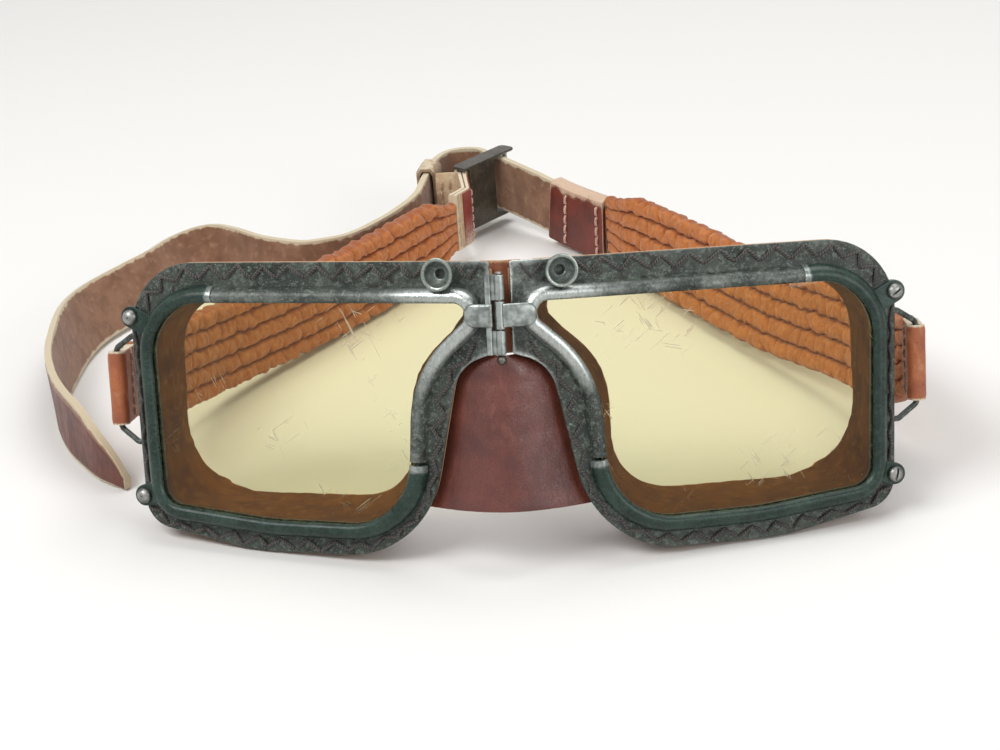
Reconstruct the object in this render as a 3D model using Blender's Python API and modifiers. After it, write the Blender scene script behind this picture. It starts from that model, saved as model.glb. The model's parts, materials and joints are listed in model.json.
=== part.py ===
"""Flying goggles: two hinged metal frames with glass lenses, leather masks and a sprung headband.

Metres, +Z up, the lenses face -Y. Each half is modelled in its own frame, with its origin on the
hinge axis: X runs outward, Y backward and Z up along the frame. The right half's pieces are
modelled once and mirrored for the left half. The headband is modelled round the whole goggles.
"""
import math

import bmesh
import bpy
from mathutils import Matrix, Vector

# Clearances and cutting overrun
gap = 0.0003
overrun = 0.001

# How the goggles stand: the frames lean back, and each half is swept back from the hinge
lean = math.radians(15.0)
sweep = math.radians(15.8)

# Lens opening in the frame, measured from the hinge axis
bridge_half = 0.0093
lens_width = 0.0800
lens_height = 0.0522
lens_top = 0.0026
lens_thickness = 0.0016
lens_inset = 0.0016

# Pressed frame: a flat flange round a rolled channel
sheet = 0.0008
flange_forward = 0.0023
channel_width = 0.0035
channel_wall = 0.0007
rim_top = 0.0094
rim_side = 0.0064
rim_bottom = 0.0080
rim_nose = 0.0098
hinge_edge = 0.0031
edge_radius = 0.0008

# Lens retainer: a slightly larger channel round the outer part of the lens
retainer_width = 0.0040
retainer_rise = 0.00045
ear_radius = 0.0026
retainer_top_share = 0.785
retainer_nose_share = 0.735
ear_root = 0.0030

# Retainer screws and nuts
screw_head_radius = 0.0019
screw_head_height = 0.0014
screw_radius = 0.0008
screw_slot = 0.0005
screw_slot_depth = 0.0006
nut_radius = 0.0018
nut_height = 0.0012
screw_words = ("upper", "lower")
screw_height_shares = (0.080, 0.900)
screw_stands = (0.0081, 0.0063)

# Vent cup
vent_out = 0.0145
vent_up = 0.0094
vent_rim_radius = 0.00385
vent_neck_radius = 0.0020
vent_bore = 0.0009
vent_wall = 0.0006
vent_height = 0.0034
vent_neck_height = 0.0012

# Lacing thread
thread_radius = 0.00045
thread_pitch = 0.0068
thread_edge = 0.0009
thread_reach = 0.0030
thread_vent_space = 0.0010

# Leather mask behind the frame
leather = 0.0015
mask_wall = 0.0018
mask_depth_top = 0.0130
mask_depth_side = 0.0165
mask_depth_bottom = 0.0190
mask_depth_nose = 0.0110
mask_edge_inset = 0.0005
mask_side_space = 0.0040

# Wire bail on the outer side
wire_radius = 0.0007
bail_out = 0.0060
bail_back = 0.0015
bail_top = 0.0090
bail_bottom = 0.0286
bail_foot_top = 0.0058
bail_foot_bottom = 0.0318
bail_bend = 0.0016

# Hinge
pin_radius = 0.00045
knuckle_wall = 0.0004
knuckle_top = 0.0092
knuckle_bottom = 0.0090
knuckle_mid = 0.0032
pin_ball_radius = 0.0011
pin_head_radius = 0.0009
pin_head_height = 0.0004
leaf_thickness = 0.0009
lobe_out = 0.0083
lobe_half_height = 0.0027
lobe_end_radius = 0.0022
leaf_block_out = 0.0030

# Nose leather and the leather behind the hinge
nose_leather = 0.0014
nose_top = 0.0098
nose_bottom = 0.0460
nose_top_half = 0.0052
nose_overlap = 0.0018
nose_lip = 0.0002
nose_front_top = 0.0030
nose_front_bottom = 0.0018
bridge_strip_top = 0.0118
bridge_strip_bottom = 0.0095
bridge_strip_half = 0.0046

# Strap loops on the bails
loop_height = 0.0180
loop_wall = 0.0013
loop_length = 0.0078
sewn_length = 0.0040
sewn_thickness = 0.0040

# Gathered elastic: casing with five channels, and a spring in each
channel_count = 5
channel_pitch = 0.0050
casing_leather = 0.0009
casing_crown = 0.0018
left_end_height = 0.0160
spring_radius = 0.00115
elastic_stations = 16

# Headband round the back
band_depth = 0.1900
strap_width = 0.0175
strap_thickness = 0.0024
strap_stations = 64
strap_chamfer = 0.0004
lean_length = 0.0010
tip_length = 0.0260

# Patch, keeper and end tab
patch_length = 0.0250
patch_wall = 0.0012
keeper_length = 0.0080
keeper_wall = 0.0012
tab_overhang = 0.0006
tab_lift = 0.0028
tab_height = strap_width + tab_overhang
tab_wall = 0.0012
tab_thickness = 0.0028

# Buckle
buckle_sheet = 0.0009
buckle_length = 0.0250
buckle_width = 0.0056
buckle_plate = 0.0124
buckle_bar_radius = 0.0008
buckle_bar_inset = 0.0022
buckle_turn = math.radians(54.0)
buckle_lift = 0.0034

# Corners of the lens opening, as shares of its width and height, and the corner radii
lens_corner_shares = (
    (-0.059, 0.000),
    (1.001, -0.002),
    (0.986, 0.932),
    (0.640, 0.995),
    (0.195, 1.006),
    (0.165, 0.310),
)
lens_corner_radii = (0.0026, 0.0130, 0.0050, 0.0600, 0.0160, 0.0280)

# Corners of the mask's rear edge, as the same shares, and the corner radii
mask_corner_shares = (
    (0.002, 0.008),
    (1.009, 0.008),
    (1.021, 0.954),
    (0.246, 0.954),
    (0.234, 0.328),
)
mask_corner_radii = (0.0030, 0.0140, 0.0190, 0.0170, 0.0180)

# How far the flange's corners stand off the lens corners, as shares of the rims
flange_corner_shares = ((1.0, 1.0), (0.97, 0.66), (0.95, 1.0), (-0.33, 1.0), (-1.09, -0.17))
flange_corner_radii = (0.0170, 0.0075, 0.0500, 0.0250, 0.0100)

# Steps
arc_step = math.radians(15.0)
long_step = 0.0130

collection = bpy.data.collections.new("flying_goggles")


def clear_scene():
    """Remove whatever objects the scene starts with."""
    for obj in list(bpy.data.objects):
        bpy.data.objects.remove(obj)


def material(name, colour, roughness, metallic):
    """A Principled material with one colour."""
    made = bpy.data.materials.new(name)
    made.use_nodes = True
    shader = made.node_tree.nodes["Principled BSDF"]
    shader.inputs["Base Color"].default_value = (*colour, 1.0)
    shader.inputs["Roughness"].default_value = roughness
    shader.inputs["Metallic"].default_value = metallic
    made.diffuse_color = (*colour, 1.0)
    return made


def empty(name, parent, location=(0.0, 0.0, 0.0), rotation=(0.0, 0.0, 0.0), mirrored=False):
    """An empty that carries the pieces of one body."""
    made = bpy.data.objects.new(name, None)
    made.parent = parent
    made.location = location
    made.rotation_euler = rotation
    if mirrored:
        made.scale = (-1.0, 1.0, 1.0)
    collection.objects.link(made)
    return made


def add_object(name, data, parent, look):
    """Link a mesh or curve as one named piece with its material."""
    made = bpy.data.objects.new(name, data)
    made.parent = parent
    collection.objects.link(made)
    if look is not None:
        data.materials.clear()
        data.materials.append(look)
    return made


def mirrored_copy(obj, name, parent):
    """The same piece on the other half."""
    copy = bpy.data.objects.new(name, obj.data)
    copy.parent = parent
    collection.objects.link(copy)
    return copy


def evaluated_mesh(obj):
    """The mesh that an object's modifiers or curve settings give."""
    bpy.context.view_layer.update()
    graph = bpy.context.evaluated_depsgraph_get()
    return bpy.data.meshes.new_from_object(obj.evaluated_get(graph))


def tidy_mesh(mesh, distance=0.000001):
    """Weld a mesh and turn its faces outward."""
    shape = bmesh.new()
    shape.from_mesh(mesh)
    bmesh.ops.remove_doubles(shape, verts=shape.verts, dist=distance)
    bmesh.ops.dissolve_degenerate(shape, edges=shape.edges, dist=distance)
    bmesh.ops.recalc_face_normals(shape, faces=shape.faces)
    shape.to_mesh(mesh)
    shape.free()


def settle(obj):
    """Apply a piece's modifiers to its mesh."""
    look = obj.data.materials[0] if obj.data.materials else None
    mesh = evaluated_mesh(obj)
    obj.modifiers.clear()
    obj.data = mesh
    mesh.materials.clear()
    if look is not None:
        mesh.materials.append(look)


def combine(obj, tool, operation):
    """Join a tool body to a piece or cut it away, and remove the tool."""
    modifier = obj.modifiers.new(operation.lower(), "BOOLEAN")
    modifier.object = tool
    modifier.operation = operation
    modifier.solver = "EXACT"
    settle(obj)
    bpy.data.objects.remove(tool)


def rounded(corners, radii):
    """A closed outline with each corner rounded by an arc."""
    points = []
    total = len(corners)
    for index in range(total):
        before = Vector(corners[index - 1])
        corner = Vector(corners[index])
        after = Vector(corners[(index + 1) % total])
        to_before = (before - corner).normalized()
        to_after = (after - corner).normalized()
        opening = to_before.angle(to_after)
        reach = radii[index] / math.tan(opening / 2)
        centre_way = (to_before + to_after).normalized()
        centre = corner + centre_way * (radii[index] / math.sin(opening / 2))
        start = corner + to_before * reach - centre
        turn = math.pi - opening
        count = max(2, math.ceil(turn / arc_step))
        side = 1.0 if start.x * to_before.y - start.y * to_before.x < 0 else -1.0
        for step in range(count + 1):
            angle = side * turn * step / count
            points.append(centre + Matrix.Rotation(angle, 2) @ start)
    return points


def lengths_along(points, closed):
    """Running length at each point of a polyline."""
    marks = [0.0]
    following = points[1:] + ([points[0]] if closed else [])
    for here, there in zip(points, following):
        marks.append(marks[-1] + (there - here).length)
    return marks


def point_at(points, marks, distance):
    """The point at a distance along a polyline."""
    for index in range(len(marks) - 1):
        if distance <= marks[index + 1] or index == len(marks) - 2:
            here = points[index]
            there = points[(index + 1) % len(points)]
            part = (distance - marks[index]) / max(marks[index + 1] - marks[index], gap * gap)
            return here.lerp(there, part)
    return points[-1]


def resampled(points, count, start=0.0, end=1.0, closed=True):
    """Evenly spaced points between two shares of a polyline's length."""
    marks = lengths_along(points, closed)
    whole = closed and end - start >= 1.0
    steps = count if whole else count - 1
    shares = [start + (end - start) * index / steps for index in range(count)]
    return [point_at(points, marks, share * marks[-1]) for share in shares]


def span_of(points, start, end):
    """The points of a closed outline between two shares of its length."""
    marks = lengths_along(points, True)
    total = marks[-1]
    laps = [mark + lap * total for lap in (0, 1) for mark in marks[:-1]]
    kept = [point_at(points, marks, start * total % total)]
    for index, mark in enumerate(laps):
        if start * total + gap < mark < end * total - gap:
            kept.append(points[index % len(points)])
    kept.append(point_at(points, marks, end * total % total))
    return kept


def share_near(points, spot):
    """The share of a closed outline's length that lies nearest to a place."""
    marks = lengths_along(points, True)
    best = (math.inf, 0.0)
    for index, here in enumerate(points):
        edge = points[(index + 1) % len(points)] - here
        part = min(1.0, max(0.0, (spot - here).dot(edge) / edge.length_squared))
        away = (spot - here - edge * part).length
        if away < best[0]:
            best = (away, (marks[index] + edge.length * part) / marks[-1])
    return best[1]


def inside_side(points):
    """+1 where the outline runs counter-clockwise, otherwise -1."""
    area = 0.0
    for index, here in enumerate(points):
        there = points[(index + 1) % len(points)]
        area += here.x * there.y - there.x * here.y
    return 1.0 if area > 0 else -1.0


def outward_ways(points, side, closed=True):
    """Unit vectors that point out of an outline, one for each point."""
    ways = []
    total = len(points)
    for index in range(total):
        before = points[index - 1] if closed or index > 0 else points[index]
        after = points[(index + 1) % total] if closed or index < total - 1 else points[index]
        along = (after - before).normalized()
        ways.append(Vector((along.y, -along.x)) * side)
    return ways


def reach_to(point, way, outline):
    """Distance from a point along a way to an outline."""
    best = None
    for index, here in enumerate(outline):
        there = outline[(index + 1) % len(outline)]
        edge = there - here
        cross = way.x * edge.y - way.y * edge.x
        if cross == 0:
            continue
        offset = here - point
        along = (offset.x * edge.y - offset.y * edge.x) / cross
        share = (offset.x * way.y - offset.y * way.x) / cross
        if along > 0 and 0 <= share <= 1 and (best is None or along < best):
            best = along
    return best


def distance_to(point, outline):
    """Shortest distance from a point to a closed outline."""
    best = None
    for index, here in enumerate(outline):
        there = outline[(index + 1) % len(outline)]
        edge = there - here
        share = min(1.0, max(0.0, (point - here).dot(edge) / edge.length_squared))
        away = (point - here - edge * share).length
        if best is None or away < best:
            best = away
    return best


def offset_outline(points, side, distance):
    """An outline moved outward by a distance."""
    return [point + way * distance for point, way in zip(points, outward_ways(points, side))]


def loft(name, rings, parent, look, closed=False):
    """A solid through rings of equal point counts, capped at its ends unless it closes."""
    shape = bmesh.new()
    rows = [[shape.verts.new(point) for point in ring] for ring in rings]
    size = len(rings[0])
    pairs = list(zip(rows, rows[1:]))
    if closed:
        pairs.append((rows[-1], rows[0]))
    for low, high in pairs:
        for index in range(size):
            after = (index + 1) % size
            shape.faces.new((low[index], low[after], high[after], high[index]))
    if not closed:
        shape.faces.new(rows[0])
        shape.faces.new(rows[-1])
    bmesh.ops.recalc_face_normals(shape, faces=shape.faces)
    mesh = bpy.data.meshes.new(name)
    shape.to_mesh(mesh)
    shape.free()
    return add_object(name, mesh, parent, look)


def plate(name, outlines, front, back, parent, look):
    """A flat plate in the half's plane, from filled outlines, between two depths."""
    curve = bpy.data.curves.new(name, "CURVE")
    curve.dimensions = "2D"
    curve.fill_mode = "BOTH"
    curve.extrude = (back - front) / 2
    for outline in outlines:
        spline = curve.splines.new("POLY")
        spline.points.add(len(outline) - 1)
        for point, spot in zip(spline.points, outline):
            point.co = (spot[0], spot[1], 0.0, 1.0)
        spline.use_cyclic_u = True
    helper = bpy.data.objects.new(name, curve)
    collection.objects.link(helper)
    mesh = evaluated_mesh(helper)
    bpy.data.objects.remove(helper)
    middle = (front + back) / 2
    for vertex in mesh.vertices:
        across, up, depth = vertex.co
        vertex.co = (across, middle + depth, up)
    tidy_mesh(mesh)
    return add_object(name, mesh, parent, look)


def standing_plate(name, outlines, low, high, parent, look):
    """A plan outline raised between two heights."""
    made = plate(name, outlines, low, high, parent, look)
    for vertex in made.data.vertices:
        across, height, along = vertex.co
        vertex.co = (across, along, height)
    tidy_mesh(made.data)
    return made


def circle(centre, radius, count):
    """Points round a circle."""
    turns = [2 * math.pi * index / count for index in range(count)]
    return [Vector((centre[0] + radius * math.cos(turn), centre[1] + radius * math.sin(turn)))
            for turn in turns]


def rod(name, start, end, radius, parent, look, sides=16):
    """A round bar between two points."""
    start = Vector(start)
    end = Vector(end)
    along = end - start
    shape = bmesh.new()
    turn = along.to_track_quat("Z", "Y").to_matrix().to_4x4()
    place = Matrix.Translation((start + end) / 2) @ turn
    bmesh.ops.create_cone(shape, cap_ends=True, segments=sides, radius1=radius, radius2=radius,
                          depth=along.length, matrix=place)
    mesh = bpy.data.meshes.new(name)
    shape.to_mesh(mesh)
    shape.free()
    return add_object(name, mesh, parent, look)


def box(name, low, high, parent, look):
    """A rectangular block between two corners."""
    low = Vector(low)
    high = Vector(high)
    size = high - low
    shape = bmesh.new()
    scaling = Matrix.Diagonal((size.x, size.y, size.z, 1.0))
    bmesh.ops.create_cube(shape, size=1.0, matrix=Matrix.Translation((low + high) / 2) @ scaling)
    mesh = bpy.data.meshes.new(name)
    shape.to_mesh(mesh)
    shape.free()
    return add_object(name, mesh, parent, look)


def turned(name, profile, closed, steps, place, parent, look):
    """A turned shape: a profile of radii and heights under a Screw modifier, then placed."""
    mesh = bpy.data.meshes.new(name)
    points = [(radius, 0.0, height) for radius, height in profile]
    edges = [(index, index + 1) for index in range(len(points) - 1)]
    if closed:
        edges.append((len(points) - 1, 0))
    mesh.from_pydata(points, edges, [])
    made = add_object(name, mesh, parent, look)
    modifier = made.modifiers.new("turn", "SCREW")
    modifier.axis = "Z"
    modifier.steps = steps
    modifier.render_steps = steps
    modifier.use_merge_vertices = True
    modifier.merge_threshold = gap / 30
    settle(made)
    made.data.transform(place)
    tidy_mesh(made.data)
    return made


def facing_front(centre, depth):
    """A placing that turns a shape's +Z towards the front, at a place in the half."""
    spot = Vector((centre[0], depth, centre[1]))
    return Matrix.Translation(spot) @ Matrix.Rotation(math.pi / 2, 4, "X")


# Outlines of one half, in its own plane
lens_right = bridge_half + lens_width
lens_corners = [(bridge_half + across * lens_width, lens_top - down * lens_height)
                for across, down in lens_corner_shares]


def flange_corners():
    """The flange's corners, stood off the lens corners by the rims."""
    rims = ((rim_side, rim_top), (rim_side, -rim_bottom), (rim_side, -rim_bottom),
            (rim_nose, -rim_bottom), (rim_nose, -rim_bottom))
    corners = [(hinge_edge, lens_top + rim_top)]
    for corner, shares, rim in zip(lens_corners[1:], flange_corner_shares, rims):
        corners.append((corner[0] + shares[0] * rim[0], corner[1] + shares[1] * rim[1]))
    corners.append((hinge_edge, -(knuckle_bottom + gap)))
    return corners


def flange_radii():
    """Corner radii that go with the flange's corners."""
    return (edge_radius, *flange_corner_radii, edge_radius)


lens_fine = rounded(lens_corners, lens_corner_radii)
mask_outline = rounded([(bridge_half + across * lens_width, lens_top - down * lens_height)
                        for across, down in mask_corner_shares], mask_corner_radii)
flange_fine = rounded(flange_corners(), flange_radii())


def subdivided(points, limit):
    """A closed outline with its long sides divided."""
    dense = []
    for index, here in enumerate(points):
        there = points[(index + 1) % len(points)]
        if (there - here).length < edge_radius * edge_radius:
            continue
        count = max(1, math.ceil((there - here).length / limit))
        dense += [here.lerp(there, step / count) for step in range(count)]
    return dense


lens_outline = subdivided(lens_fine, long_step)
flange_outline = subdivided(flange_fine, long_step)
winding = inside_side(lens_outline)

flange_back = flange_forward + sheet
mask_front = flange_back + gap
lens_front = flange_forward - gap - lens_thickness
groove_front = lens_front - gap


def screw_places():
    """Where each screw stands: the foot of its ear on the lens edge, the way out, its centre."""
    marks = lengths_along(lens_outline, True)
    places = []
    for share, stand in zip(screw_height_shares, screw_stands):
        height = lens_top - share * lens_height
        start = Vector((bridge_half + lens_width / 2, height))
        out = reach_to(start, Vector((1.0, 0.0)), lens_outline) + stand
        centre = start + Vector((out, 0.0))
        foot = point_at(lens_outline, marks, share_near(lens_outline, centre) * marks[-1])
        way = (centre - foot).normalized()
        places.append((foot, way, foot + way * stand))
    return places


def screw_centres():
    """Centres of the two retainer screws."""
    return [centre for _, _, centre in screw_places()]


def ear_outline(foot, way, centre):
    """Outline of an ear: a round end about the screw, with its root at the band."""
    across = Vector((-way.y, way.x))
    root = foot + way * ear_root
    start = math.atan2(across.y, across.x)
    ends = [centre + Vector((math.cos(start - turn), math.sin(start - turn))) * ear_radius
            for turn in (math.pi * step / 10 for step in range(11))]
    return [root + across * ear_radius, *ends, root - across * ear_radius]


def half_point(side, across, back, up):
    """A point of a half, in the frame of the whole goggles."""
    reach = across * math.cos(sweep) - back * math.sin(sweep)
    depth = across * math.sin(sweep) + back * math.cos(sweep)
    return leaned(side * reach, depth, up)


def leaned(across, depth, up):
    """A point of the leaning hinge frame, in the frame of the whole goggles."""
    return Vector((
        across,
        depth * math.cos(lean) + up * math.sin(lean),
        hinge_height + up * math.cos(lean) - depth * math.sin(lean),
    ))


def stand_height():
    """Height of the hinge at which the lowest edge of the flanges meets the floor."""
    drops = []
    for point in flange_outline:
        depth = point.x * math.sin(sweep) + flange_back * math.cos(sweep)
        drops.append(depth * math.sin(lean) - point.y * math.cos(lean))
    return max(drops)


hinge_height = stand_height()
bail_x = lens_right + rim_side + bail_out
bail_y = mask_front + wire_radius + bail_back
bail_middle = -(bail_top + bail_bottom) / 2


def channel_section(width, rise):
    """Section of a channel over the lens edge: distance out from the lens edge, and depth."""
    crown = groove_front - channel_wall - rise
    inner = lens_inset + gap
    return [
        (inner, groove_front),
        (0.0, groove_front),
        (width * 0.04, (groove_front + crown) / 2),
        (width * 0.25, crown),
        (width * 0.55, crown),
        (width * 0.80, crown + (flange_forward - crown) * 0.22),
        (width * 0.96, crown + (flange_forward - crown) * 0.60),
    ]


def sweep_round(name, section_at, points, ways, parent, look, closed):
    """A section carried round an outline; the section may differ from point to point."""
    rings = []
    for index, (point, way) in enumerate(zip(points, ways)):
        ring = []
        for out, depth in section_at(index):
            spot = point + way * out
            ring.append((spot.x, depth, spot.y))
        rings.append(ring)
    return loft(name, rings, parent, look, closed)


def retainer_shares():
    """Where the retainer starts and ends, as shares of the lens outline's length."""
    top = Vector((bridge_half + retainer_top_share * lens_width, lens_top))
    nose = Vector((bridge_half, lens_top - retainer_nose_share * lens_height))
    return share_near(lens_outline, top), share_near(lens_outline, nose)


def make_frame(parent, look):
    """Pressed flange with the rolled channel, screw ears and holes."""
    frame = plate("right_frame", [flange_outline, lens_outline], flange_forward, flange_back,
                  parent, look)
    channel = channel_section(channel_width, 0.0)
    bed = flange_forward + sheet / 4
    section = channel + [(channel_width, flange_forward - gap), (channel_width, bed),
                         (lens_inset + gap, bed)]
    start, end = retainer_shares()
    points = span_of(lens_outline, end, 1.0 + start)
    ways = outward_ways(points, winding, closed=False)
    bead = sweep_round("bead", lambda index: section, points, ways, parent, None, False)
    combine(frame, bead, "UNION")
    skin = sheet / 16
    for place in screw_places():
        ear = plate("ear", [ear_outline(*place)], flange_forward + skin, flange_back - skin,
                    parent, None)
        combine(frame, ear, "UNION")
    holes = [(centre, screw_radius + gap) for centre in screw_centres()]
    holes.append((Vector((vent_out, vent_up)), vent_neck_radius + gap))
    for centre, radius in holes:
        drill = rod("drill", (centre.x, flange_forward - overrun, centre.y),
                    (centre.x, flange_back + overrun, centre.y), radius, parent, None, 20)
        combine(frame, drill, "DIFFERENCE")
    return frame


def make_retainer(parent, look):
    """U-shaped band round the outer part of the lens, with its two ears."""
    section = channel_section(retainer_width, retainer_rise)
    seat = flange_forward - gap
    section += [(retainer_width, seat - sheet), (retainer_width, seat),
                (lens_inset + gap, seat)]
    spare = gap / lengths_along(lens_outline, True)[-1]
    start, end = retainer_shares()
    points = span_of(lens_outline, start + spare, end - spare)
    ways = outward_ways(points, winding, closed=False)
    band = sweep_round("right_retainer", lambda index: section, points, ways, parent, look, False)
    skin = sheet / 16
    for place in screw_places():
        ear = plate("ear", [ear_outline(*place)], seat - sheet + skin, seat - skin, parent, None)
        combine(band, ear, "UNION")
    for centre in screw_centres():
        drill = rod("drill", (centre.x, seat - sheet - overrun, centre.y),
                    (centre.x, seat + overrun, centre.y), screw_radius + gap, parent, None, 16)
        combine(band, drill, "DIFFERENCE")
    return band


def make_lens(parent, look):
    """Flat glass whose edge sits inside the channel."""
    outline = offset_outline(lens_outline, winding, lens_inset)
    return plate("right_lens", [outline], lens_front, lens_front + lens_thickness, parent, look)


def make_screws(parent, look):
    """Two slotted dome screws through the retainer's ears."""
    base = flange_forward - gap - sheet - gap
    length = mask_front + nut_height - base
    dome = []
    for step in range(5):
        turn = math.pi / 2 * (1 - step / 4)
        dome.append((screw_head_radius * math.cos(turn), screw_head_height * math.sin(turn)))
    profile = dome + [(screw_radius, 0.0), (screw_radius, -length), (0.0, -length)]
    screws = []
    for number, (word, centre) in enumerate(zip(screw_words, screw_centres())):
        screw = turned(f"right_{word}_screw", profile, False, 16, facing_front(centre, base),
                       parent, look)
        slot = box("slot", (-screw_head_radius, -screw_slot / 2, -screw_slot_depth),
                   (screw_head_radius, screw_slot / 2, overrun), parent, None)
        tip = Matrix.Translation((0.0, 0.0, screw_head_height))
        slant = Matrix.Rotation(math.radians(35.0 + 40.0 * number), 4, "Z")
        slot.data.transform(facing_front(centre, base) @ tip @ slant)
        combine(screw, slot, "DIFFERENCE")
        screws.append(screw)
    return screws


def make_nuts(parent, look):
    """Two square nuts behind the frame."""
    nuts = []
    for word, centre in zip(screw_words, screw_centres()):
        outer = circle(centre, nut_radius, 4)
        inner = circle(centre, screw_radius + gap, 12)
        nuts.append(plate(f"right_{word}_nut", [outer, inner], mask_front,
                          mask_front + nut_height, parent, look))
    return nuts


def make_vent(parent, look):
    """Turned cup with a funnel mouth, a neck through the flange and a bore."""
    neck = vent_neck_radius
    low = -(sheet + gap)
    profile = [
        (vent_rim_radius - vent_wall, vent_height),
        (vent_rim_radius, vent_height - vent_wall / 2),
        (vent_rim_radius, vent_height - vent_wall),
        (neck + gap, vent_neck_height + gap),
        (neck, vent_neck_height),
        (neck, low),
        (vent_bore, low),
        (vent_bore, vent_neck_height),
        (vent_bore + vent_wall, vent_neck_height),
        (vent_bore + vent_wall, vent_neck_height - vent_wall),
        (neck - vent_wall / 2, vent_neck_height - vent_wall / 2),
        (vent_rim_radius - vent_wall * 1.5, vent_height - vent_wall * 1.5),
    ]
    place = facing_front((vent_out, vent_up), flange_forward - gap)
    return turned("right_vent_cup", profile, True, 18, place, parent, look)


def zigzag(start, end, count_pitch):
    """Thread points between two shares of the flange's outline."""
    marks = lengths_along(flange_outline, True)
    length = (end - start) * marks[-1]
    count = max(2, round(2 * length / count_pitch))
    shares = [start + (end - start) * index / count for index in range(count + 1)]
    spots = []
    for index, share in enumerate(shares):
        point = point_at(flange_outline, marks, share * marks[-1])
        ahead = point_at(flange_outline, marks, min(share * marks[-1] + gap, marks[-1]))
        behind = point_at(flange_outline, marks, max(share * marks[-1] - gap, 0.0))
        along = (ahead - behind).normalized()
        outward = Vector((along.y, -along.x)) * winding
        room = distance_to(point, lens_outline) - retainer_width - gap - thread_radius
        depth = thread_edge if index % 2 == 0 else min(thread_edge + thread_reach, room)
        spots.append(point - outward * depth)
    return spots


def make_lacing(parent, look):
    """Zig-zag thread on the flange, in stretches between the vent cup and the screws."""
    marks = lengths_along(flange_outline, True)
    vent_share = share_near(flange_outline, Vector((vent_out, lens_top + rim_top)))
    clear = (vent_neck_radius + thread_vent_space + thread_radius + gap) / marks[-1]
    screws = [share_near(flange_outline, centre) for centre in screw_centres()]
    keep = (ear_radius + thread_vent_space) / marks[-1]
    top = Vector((hinge_edge + leaf_block_out, lens_top + rim_top))
    bottom = Vector((hinge_edge + leaf_block_out, -(knuckle_bottom + gap)))
    start = share_near(flange_outline, top)
    stop = share_near(flange_outline, bottom)
    if stop < start:
        stop += 1.0
    spans = {
        "inner": (start, vent_share - clear),
        "top": (vent_share + clear, screws[0] - keep),
        "side": (screws[0] + keep, screws[1] - keep),
        "bottom": (screws[1] + keep, stop),
    }
    depth = flange_forward - gap - thread_radius
    laces = []
    for word, (first, last) in spans.items():
        spots = [(spot.x, depth, spot.y) for spot in zigzag(first, last, thread_pitch)]
        laces.append(tube_curve(f"right_{word}_lacing", spots, thread_radius, parent, look, 0))
    return laces


def blend_share(value, low, high):
    """0 below low, 1 above high, and a smooth step between them."""
    share = min(1.0, max(0.0, (value - low) / (high - low)))
    return share * share * (3 - 2 * share)


def make_mask(parent, look):
    """Leather funnel: a flat edge behind the flange, then a wall that runs back to the face."""
    points = lens_outline
    ways = outward_ways(points, winding)
    limit = lens_right + mask_side_space - gap
    middle = sum(mask_outline, Vector((0.0, 0.0))) / len(mask_outline)
    rings = []
    for point, way in zip(points, ways):
        edge = reach_to(point, way, flange_outline) - mask_edge_inset
        sideways = max(way.x, 0.0)
        if point.x + way.x * edge > limit:
            edge = min(edge, max(mask_wall + gap, (limit - point.x) / max(way.x, edge_radius)))
        up_share = blend_share(way.y, 0.0, 1.0)
        down_share = blend_share(-way.y, 0.0, 1.0)
        out_share = blend_share(sideways, 0.0, 1.0)
        nose_share = blend_share(-way.x, 0.0, 1.0)
        total = up_share + down_share + out_share + nose_share
        depth = (up_share * mask_depth_top + down_share * mask_depth_bottom
                 + out_share * mask_depth_side + nose_share * mask_depth_nose) / total
        outward = (point - middle).normalized()
        rear = middle + outward * reach_to(middle, outward, mask_outline)
        root = gap
        back = mask_front + leather
        end = mask_front + depth
        edge = max(edge, root + mask_wall + gap)
        line = [
            (point + way * edge, mask_front),
            (point + way * edge, back),
            (point + way * (root + mask_wall + gap / 2), back + gap),
            (rear + outward * mask_wall, end),
            (rear, end),
            (point + way * root, mask_front + leather / 2),
            (point + way * root, mask_front),
        ]
        rings.append([(spot.x, level, spot.y) for spot, level in line])
    return loft("right_mask", rings, parent, look, closed=True)


def clear_fittings(piece, parent):
    """Clear the mask behind the vent cup's neck and round the nuts."""
    spots = [(Vector((vent_out, vent_up)), vent_neck_radius + gap)]
    spots += [(centre, nut_radius + gap) for centre in screw_centres()]
    for centre, radius in spots:
        drill = rod("drill", (centre.x, mask_front - overrun, centre.y),
                    (centre.x, mask_front + leather * 2 + overrun, centre.y), radius, parent,
                    None, 16)
        combine(piece, drill, "DIFFERENCE")


def tube_curve(name, spots, radius, parent, look, resolution=2):
    """A wire or tube through points, as a curve with filled caps."""
    curve = bpy.data.curves.new(name, "CURVE")
    curve.dimensions = "3D"
    curve.bevel_depth = radius
    curve.bevel_resolution = resolution
    curve.use_fill_caps = True
    spline = curve.splines.new("POLY")
    spline.points.add(len(spots) - 1)
    for point, spot in zip(spline.points, spots):
        point.co = (*spot, 1.0)
    return add_object(name, curve, parent, look)


def bent(corners, radius, steps=3):
    """A path through corners, each corner bent to a radius."""
    spots = [Vector(corners[0])]
    for before, corner, after in zip(corners, corners[1:], corners[2:]):
        before, corner, after = Vector(before), Vector(corner), Vector(after)
        to_before = (before - corner).normalized()
        to_after = (after - corner).normalized()
        opening = to_before.angle(to_after)
        reach = radius / math.tan(opening / 2)
        first = corner + to_before * reach
        last = corner + to_after * reach
        for step in range(steps + 1):
            share = step / steps
            low = first.lerp(corner, share)
            high = corner.lerp(last, share)
            spots.append(low.lerp(high, share))
    spots.append(Vector(corners[-1]))
    return spots


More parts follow.
